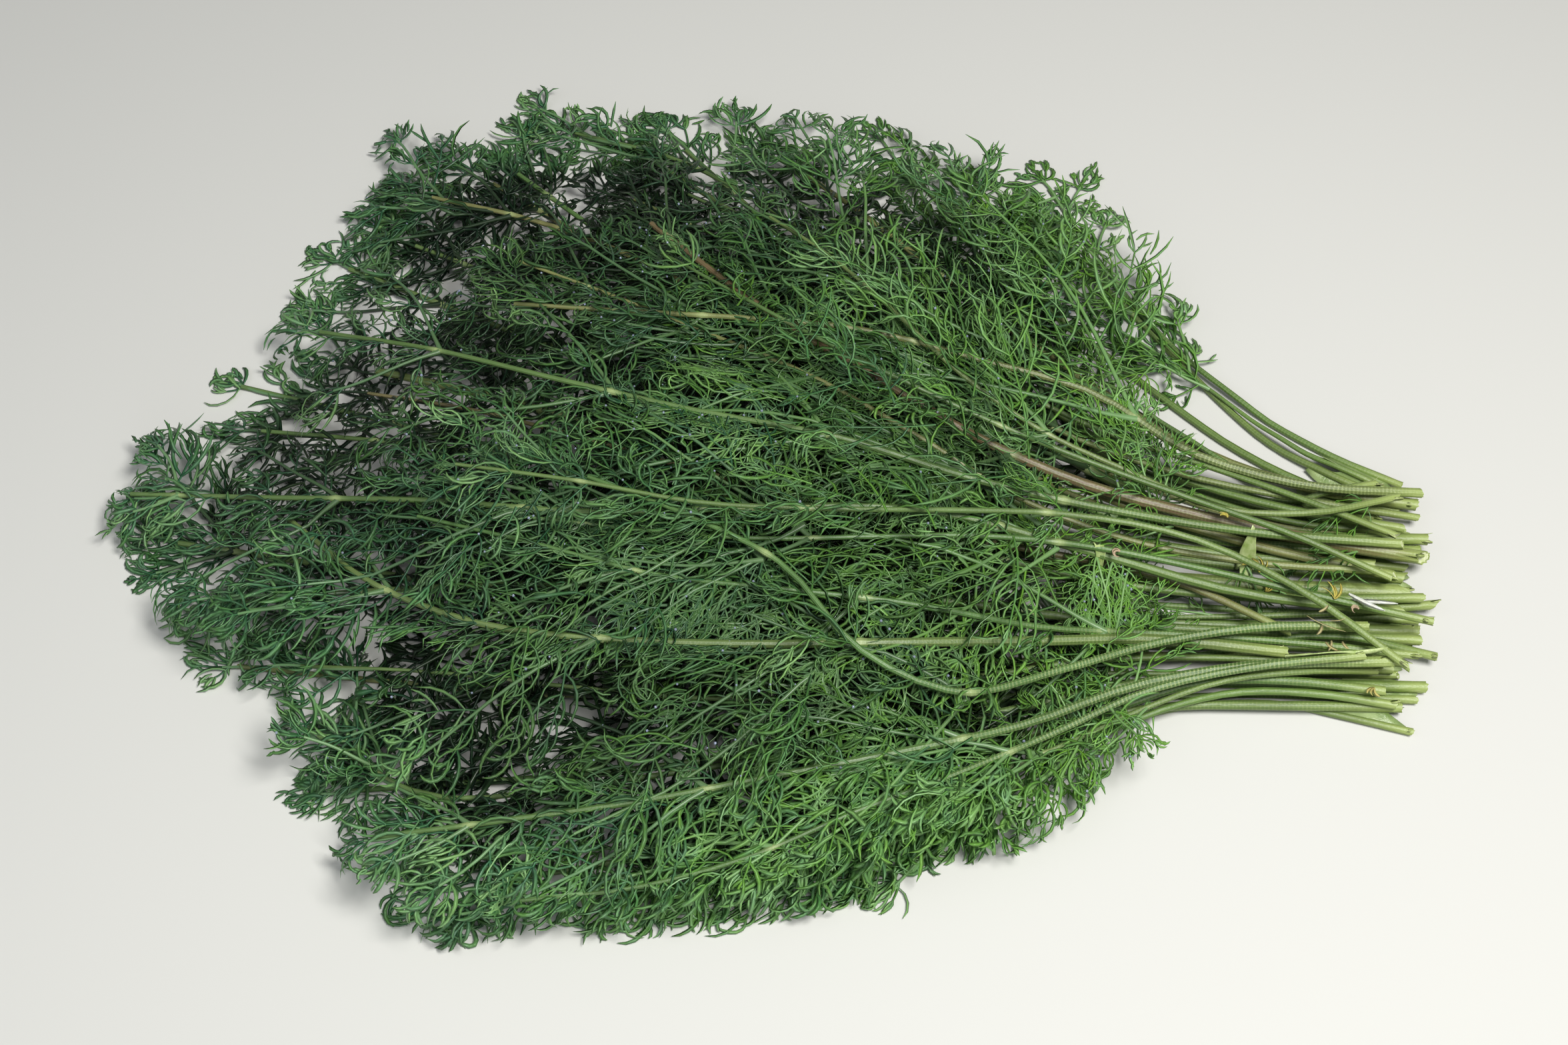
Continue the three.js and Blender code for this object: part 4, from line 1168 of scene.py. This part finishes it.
frond_skin = frond_material()
grow = frond_tree()
wet = []
for stem in stems:
    random = np.random.default_rng(900 + stem["index"])
    strands = []
    for frond in stem["fronds"]:
        young = young_at(frond["root"], random.normal(0, YOUNG_VARIES[0]))
        leaf_out(strands, random, frond, young, FROND_CLASP * stem["radii"][0])
    # The stem ends in a frond of its own
    root, axes = station_of(stem["line"], STEM_TIP)
    outside = past_outline(root + TIP_LENGTH * axes[0])
    length = np.clip(TIP_LENGTH - outside, *SHORTENED_TIP)
    tip = {"root": root, "length": length, "along": axes[0], "bend": -TIP_DROOP * UP}
    leaf_out(strands, random, tip, young_at(root), SHOOT_CLASP)
    total = np.linalg.norm(np.diff(stem["line"], axis=0), axis=1).sum()
    if stem["shows"]:
        put_top_leaflets(strands, random, stem, total)
    for at, azimuth, rise, length in shoots_of(stem["index"] + 1, random):
        root = station_of(stem["line"], at / total)[0]
        along = way_towards(azimuth, rise)
        shoot = {"root": root, "length": length, "along": along, "bend": -SHOOT_DROOP * UP}
        leaf_out(strands, random, shoot, random.uniform(*SHOOT_YOUNG), SHOOT_CLASP, SHOOT_THIN)
    for back, azimuth, rise, length in EDGE_FRONDS.get(stem["index"] + 1, []):
        root = station_of(stem["line"], 1 - back / total)[0]
        along = way_towards(azimuth, rise)
        frond = {"root": root, "length": length, "along": along, "bend": -EDGE_DROOP * UP}
        leaf_out(strands, random, frond, young_at(root), SHOOT_CLASP)
    wet.append(np.vstack([batch["points"].reshape(-1, 3) for batch in strands]))
    mesh = skeleton("frond_strands", strands)
    fronds = grown(f"fronds_{stem['index'] + 1:02d}", mesh, grow, {"Material": frond_skin})
    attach(fronds, "root")
    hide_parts(stem["node"])

# Water drops
# The bunch has been rinsed, and small clear drops of water still hang on its blades. Their places are
# drawn among the points of the blades near the top of the foliage, and nodes set a bead on each.
DROPS = 600
DROP_RADIUS = (0.2, 0.44)
DROP_SIDES = 6
DROP_RINGS = 4
DROP_CELL = 3.0
BELOW_TOP = 8.0
DROPS_WITHIN = ((-125, 95), (-110, 105))


def drop_tree():
    tree, add, into, out = geometry_tree("set_drops", [
        ("Sides", "NodeSocketInt", DROP_SIDES), ("Rings", "NodeSocketInt", DROP_RINGS),
        ("Material", "NodeSocketMaterial", None)])
    bead = add("GeometryNodeMeshUVSphere", {
        "Segments": into.outputs["Sides"], "Rings": into.outputs["Rings"], "Radius": 1.0})
    spots = add("GeometryNodeMeshToPoints", {"Mesh": into.outputs["Geometry"]})
    beads = add("GeometryNodeInstanceOnPoints", {
        "Points": spots.outputs[0], "Instance": bead.outputs["Mesh"], "Scale": named(add, "thickness")})
    return end_tree(tree, add, into, out, beads.outputs[0])


def water_material():
    """Water, half clear, whose bluish white base colour in blotches is a painted reflection of the sky and
    lights.
    """
    material, add = new_material("dill_water_drop")
    mask = bloom_of(add, 600)["Mask"]
    # Painted reflection: bluish white blotches stand in for the sky and lamps mirrored in the drops
    painted_reflection = mix(add, mask, colour(138, 152, 180), colour(206, 214, 236))
    shader = material.node_tree.nodes["Principled BSDF"]
    material.node_tree.links.new(painted_reflection, shader.inputs["Base Color"])
    for label, value in (("Roughness", 0.04), ("IOR", 1.33), ("Transmission Weight", 0.5)):
        shader.inputs[label].default_value = value
    return material


def drop_places(random):
    """Places of drops in millimetres round the middle, near the top of the foliage."""
    points = np.vstack(wet)
    (west, east), (south, north) = DROPS_WITHIN
    x, y = points[:, 0], points[:, 1]
    points = points[(x > west) & (x < east) & (y > south) & (y < north)]
    cell = ((points[:, :2] - (west, south)) / DROP_CELL).astype(int)
    top = np.zeros(cell.max(axis=0) + 1)
    np.maximum.at(top, (cell[:, 0], cell[:, 1]), points[:, 2])
    points = points[points[:, 2] > top[cell[:, 0], cell[:, 1]] - BELOW_TOP]
    return points[random.choice(len(points), DROPS, replace=False)]


random = np.random.default_rng(55)
places = drop_places(random)
radii = random.uniform(*DROP_RADIUS, DROPS) * MM
beads = bpy.data.meshes.new("drop_places")
beads.from_pydata((places * MM + np.outer(0.5 * radii, UP)).tolist(), [], [])
beads.attributes.new("thickness", "FLOAT", "POINT").data.foreach_set("value", radii)
drops = grown("water_drops", beads, drop_tree(), {"Material": water_material()})
drops.data.shade_smooth()
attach(drops, "root")

# Dry scraps
# Withered leaflets, golden, tan and pinkish, have dropped on the stalks, and so have two strips of white
# pith. They are curled blades, which the fronds' nodes make.
PITH = 1.0
SCRAPS = [
    # Place in plan, azimuth, length, turn of its curl, blades and tint: 0 pink, 0.35 tan, 0.7 gold or pith
    (91, -10, 120, 5, 3.9, 2, 0.0),
    (89, -13, 200, 5, 4.2, 2, 0.0),
    (129, -9, 60, 6, 1.6, 4, 0.7),
    (131, -12, 20, 5, 2.4, 3, 0.7),
    (146.5, -20, 60, 5, 1.3, 4, 0.75),
    (152.5, -23, 100, 3.5, 3.9, 2, 0.05),
    # Two small withered fronds, each blade on its own
    (139, -24.5, 325, 10, 0.5, 1, 0.4),
    (141.2, -26, 15, 4, 0.9, 1, 0.45),
    (142.6, -27.4, 255, 4, -0.9, 1, 0.4),
    (144, -28.2, 350, 4.5, 0.7, 1, 0.5),
    (145.4, -29.6, 265, 3.5, -0.8, 1, 0.45),
    (141, -31.5, 340, 8, -0.5, 1, 0.5),
    (143, -32.1, 280, 4, 0.8, 1, 0.5),
    (145.4, -33.2, 20, 3.5, -0.8, 1, 0.55),
    (146.6, -33.6, 275, 4, 0.8, 1, 0.5),
    (155, -43, 210, 4, 1.4, 3, 0.6),
    # The strips of pith, and one more leaflet
    (150.4, -18.6, 322, 10, 0.2, 1, PITH),
    (150.4, -18.4, 352, 12.5, -0.15, 1, PITH),
    (121, 4, 80, 3, 2.0, 3, 0.7),
]
SCRAP_RADIUS = 0.42
PITH_WIDER = 1.5
PITH_ABOVE = 1.0
SCRAP_FAN = 26
SCRAP_POINTS = 9
SCRAP_FLATNESS = 0.3
SCRAP_TWIST = 0.6
STALK_POINTS = 240
BESIDE = 0.5

on_stalks = []
shares = np.linspace(0, 1, STALK_POINTS)
for stem in stems:
    radius = np.interp(shares, np.linspace(0, 1, STATIONS), stem["radii"])
    on_stalks.append(np.column_stack([smooth_line(stem["line"], STALK_POINTS), radius]))
every_stalk = np.vstack(on_stalks)


def top_of_stalks(x, y):
    """Height of the topmost stalk under a place, or of the table."""
    away = np.linalg.norm(every_stalk[:, :2] - (x, y), axis=1)
    under = every_stalk[away < every_stalk[:, 3] + BESIDE]
    return (under[:, 2] + under[:, 3]).max() if len(under) else LOWEST


def scrap_material():
    """Dry, matt leaf, from pinkish through tan to gold, and white for pith."""
    material, add = new_material("dill_dry_scrap")
    bloom = bloom_of(add, 700, 2600)
    tint = attribute(add, "young")
    warm = mix(add, ramp(add, tint, 0.1, 0.35), colour(200, 176, 148), colour(196, 184, 134))
    golden = mix(add, ramp(add, tint, 0.45, 0.7), warm, colour(196, 184, 86))
    white = mix(add, ramp(add, tint, 0.8, 1), golden, colour(240, 244, 236))
    spotted = mix(add, ramp(add, bloom["Mask"], 0.4, 0.7, 0.25), white, colour(150, 134, 90))
    return finish_skin(material, add, spotted, bloom["Height"], 0.4, 0.0001, 0.6)


random = np.random.default_rng(77)
strands = []
share = np.linspace(0, 1, SCRAP_POINTS)
for x, y, azimuth, length, curl, blades, tint in SCRAPS:
    way = way_towards(azimuth, 0)[:2]
    under = [top_of_stalks(*(np.array([x, y]) + way * length * part)) for part in share]
    root = np.array([x, y, max(under) + (PITH_ABOVE if tint == PITH else SCRAP_RADIUS)])
    fan = azimuth + SCRAP_FAN * (np.arange(blades) - (blades - 1) / 2)
    fan = np.radians(fan + random.uniform(-8, 8, blades))
    out = np.stack([np.cos(fan), np.sin(fan), random.uniform(0, 0.2, blades)], axis=-1)
    inward = unit(np.cross(UP, out) * np.sign(curl) + UP * random.uniform(-0.1, 0.4))
    angle = abs(curl) * random.uniform(0.8, 1.2, blades)
    reach = length * random.uniform(0.7, 1.1, blades)
    points = arc_points(np.tile(root, (blades, 1)), unit(out), inward, angle, reach, share)
    radius = SCRAP_RADIUS * (PITH_WIDER if tint == PITH else 1)
    strands.append({"points": points - MIDDLE, "thickness": radius * np.interp(share, *BLADE_SHAPE) * MM,
                    "young": tint, "rib": 0.0, "twist": random.normal(0, SCRAP_TWIST, (blades, 1))})
scraps = grown("dry_scraps", skeleton("scrap_strands", strands), grow,
               {"Blade Flatness": SCRAP_FLATNESS, "Material": scrap_material()})
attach(scraps, "root")

# Peeled skins
# At the cut ends narrow strips of a stalk's green skin have come away and curl outwards. The fronds' nodes
# make them too, flatter.
PEELS = (0, 3)
PEEL_LENGTH = (1.6, 3.2)
PEEL_BACK = 3
PEEL_OUT = 0.95
PEEL_WIDTH = (0.3, 0.6)
PEEL_TURN = 70
PEEL_CURL = (0.2, 0.9)
PEEL_SHAPE = np.array([0.3, 1, 1, 0.9, 0.5])
PEEL_FLATNESS = 0.22


def film_material(name, dark, light, least_cover=1.0, blotches=420):
    """Thin wet skin, paler in streaks, and half clear between them where its least cover is below 1."""
    material, add = new_material(name)
    bloom = bloom_of(add, blotches, 2600)
    streaks = ramp(add, bloom["Mask"], 0.35, 0.65)
    if least_cover < 1:
        cover = material.node_tree.nodes["Principled BSDF"].inputs["Alpha"]
        material.node_tree.links.new(scaled(add, streaks, 1 - least_cover, least_cover), cover)
    base = mix(add, streaks, dark, light)
    return finish_skin(material, add, base, bloom["Height"], 0.5, 0.0002, 0.3)


strands = []
for stem in stems:
    end, inner = stem["line"][:2]
    out = unit(end - inner)
    side = unit(np.cross(UP, out))
    count = random.integers(*PEELS)
    if count:
        turn = np.radians(90 + random.uniform(-PEEL_TURN, PEEL_TURN, count))
        radial = side * np.cos(turn)[:, None] + np.cross(out, side) * np.sin(turn)[:, None]
        back = out * random.uniform(0.4, 1, (count, 1)) * PEEL_BACK
        root = end - back + radial * stem["radii"][0] * PEEL_OUT
        curl, reach = random.uniform(*PEEL_CURL, count), random.uniform(*PEEL_LENGTH, count)
        share = np.linspace(0, 1, len(PEEL_SHAPE))
        points = arc_points(root, np.tile(out, (count, 1)), radial, curl, reach, share)
        points[..., 2] = np.maximum(points[..., 2], LOWEST)
        width = stem["radii"][0] * random.uniform(*PEEL_WIDTH, (count, 1)) * PEEL_SHAPE
        strands.append({"points": points - MIDDLE, "thickness": width * MM, "rib": 0.0,
                        "twist": (turn - math.pi / 2)[:, None] * 0.8})
peel_skin = film_material("dill_peeled_skin", colour(158, 178, 96), colour(200, 210, 152))
peels = grown("peeled_skins", skeleton("peel_strands", strands), grow,
              {"Blade Flatness": PEEL_FLATNESS, "Material": peel_skin})
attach(peels, "root")

# Leaf sheaths
# Thin pale skins of old leaf sheaths lie along the stalks, and half clear ones stretch from stalk to stalk
# at the cut ends, torn off unevenly. Each is a sheet of points on or between the stalks, made thick.
SHEATHS = [
    # Place in plan, azimuth, length and half width
    (127, -3, 75, 11, 2.2),
    (86, -7, 100, 8, 1.6),
    (145, -36, 4, 26, 1.1),
]
SHEATH_ROWS = 13
SHEATH_COLUMNS = 7
SHEATH_THICKNESS = 0.14
SHEATH_ABOVE = 0.6
END_FILM_ROWS = 9
END_FILM_COLUMNS = 5
END_FILM_STARTS = (-1, 3)
END_FILM_REACH = (14, 30)
END_FILM_TEAR = 1.8
END_FILM_SAG = 0.5
WIDEST_FILM = 9


def thin_sheets(name, grids, material):
    """An object of thin sheets, each given as a grid of points in millimetres."""
    corners, quads = [], []
    for grid in grids:
        number = len(corners) + np.arange(grid[..., 0].size).reshape(grid.shape[:2])
        corners += ((grid.reshape(-1, 3) - MIDDLE) * MM).tolist()
        around = [number[:-1, :-1], number[1:, :-1], number[1:, 1:], number[:-1, 1:]]
        quads += np.stack(around, axis=-1).reshape(-1, 4).tolist()
    mesh = bpy.data.meshes.new(name)
    mesh.from_pydata(corners, [], quads)
    mesh.materials.append(material)
    mesh.shade_smooth()
    sheets = bpy.data.objects.new(name, mesh)
    bpy.context.scene.collection.objects.link(sheets)
    thick = sheets.modifiers.new("film", "SOLIDIFY")
    thick.thickness = SHEATH_THICKNESS * MM
    thick.offset = 0
    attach(sheets, "root")


def laid_over(place):
    """Heights of a sheet over the stalks under it, smoothed along it."""
    height = np.array([top_of_stalks(*point) for point in place[..., :2].reshape(-1, 2)])
    columns = [np.pad(column, 2, "edge") for column in height.reshape(place.shape[:2]).T]
    return np.array([np.convolve(column, np.full(5, 0.2), "valid") for column in columns]).T


u, v = np.meshgrid(np.linspace(0, 1, SHEATH_ROWS), np.linspace(-1, 1, SHEATH_COLUMNS), indexing="ij")
grids = []
for x, y, azimuth, length, half in SHEATHS:
    along, side = way_towards(azimuth, 0), way_towards(azimuth + 90, 0)
    width = half * np.sin(math.pi * np.clip(u, 0.06, 0.94)) ** 0.5 * (1 + 0.25 * np.sin(9 * u + x))
    place = np.array([x, y, 0]) + along * (length * (u - 0.5))[..., None] + side * (width * v)[..., None]
    curl = 0.5 * half * v ** 2 * np.sin(4 * u + y)
    place[..., 2] = laid_over(place) + SHEATH_ABOVE + curl + random.uniform(-0.1, 0.1, u.shape)
    place[..., 2] = np.maximum(place[..., 2], LOWEST)
    grids.append(place)
sheath_skin = film_material("dill_sheath_skin", colour(150, 172, 98), colour(188, 202, 144))
thin_sheets("leaf_sheaths", grids, sheath_skin)

# Between the stalks on the table, from the near side to the far side, where they lie close together
on_table = [stem for stem in stems if STEMS[stem["index"]][1] == 0]
on_table.sort(key=lambda stem: STEMS[stem["index"]][0][0][1])
u, v = np.meshgrid(np.linspace(0, 1, END_FILM_ROWS), np.linspace(-1, 1, END_FILM_COLUMNS), indexing="ij")
grids = []
for pair in zip(on_table, on_table[1:]):
    start, reach = random.uniform(*END_FILM_STARTS), random.uniform(*END_FILM_REACH)
    ends = [stem["line"][0] for stem in pair]
    ways = [unit(stem["line"][1] - stem["line"][0]) for stem in pair]
    if np.linalg.norm(ends[0] - ends[1] + (ways[0] - ways[1]) * reach) > WIDEST_FILM:
        continue
    tear = END_FILM_TEAR * np.sin(random.uniform(2, 4) * v + random.uniform(0, math.tau)) * (1 - 2 * u)
    s = (start + reach * u + tear)[..., None]
    across = (0.5 + 0.5 * v)[..., None]
    place = (ends[0] + ways[0] * s) * (1 - across) + (ends[1] + ways[1] * s) * across
    place[..., 2] = np.maximum(LOWEST, place[..., 2] - END_FILM_SAG * (1 - v ** 2))
    grids.append(place)
end_film_skin = film_material("dill_end_film", colour(118, 142, 80), colour(160, 178, 122), 0.85, 160)
thin_sheets("end_films", grids, end_film_skin)
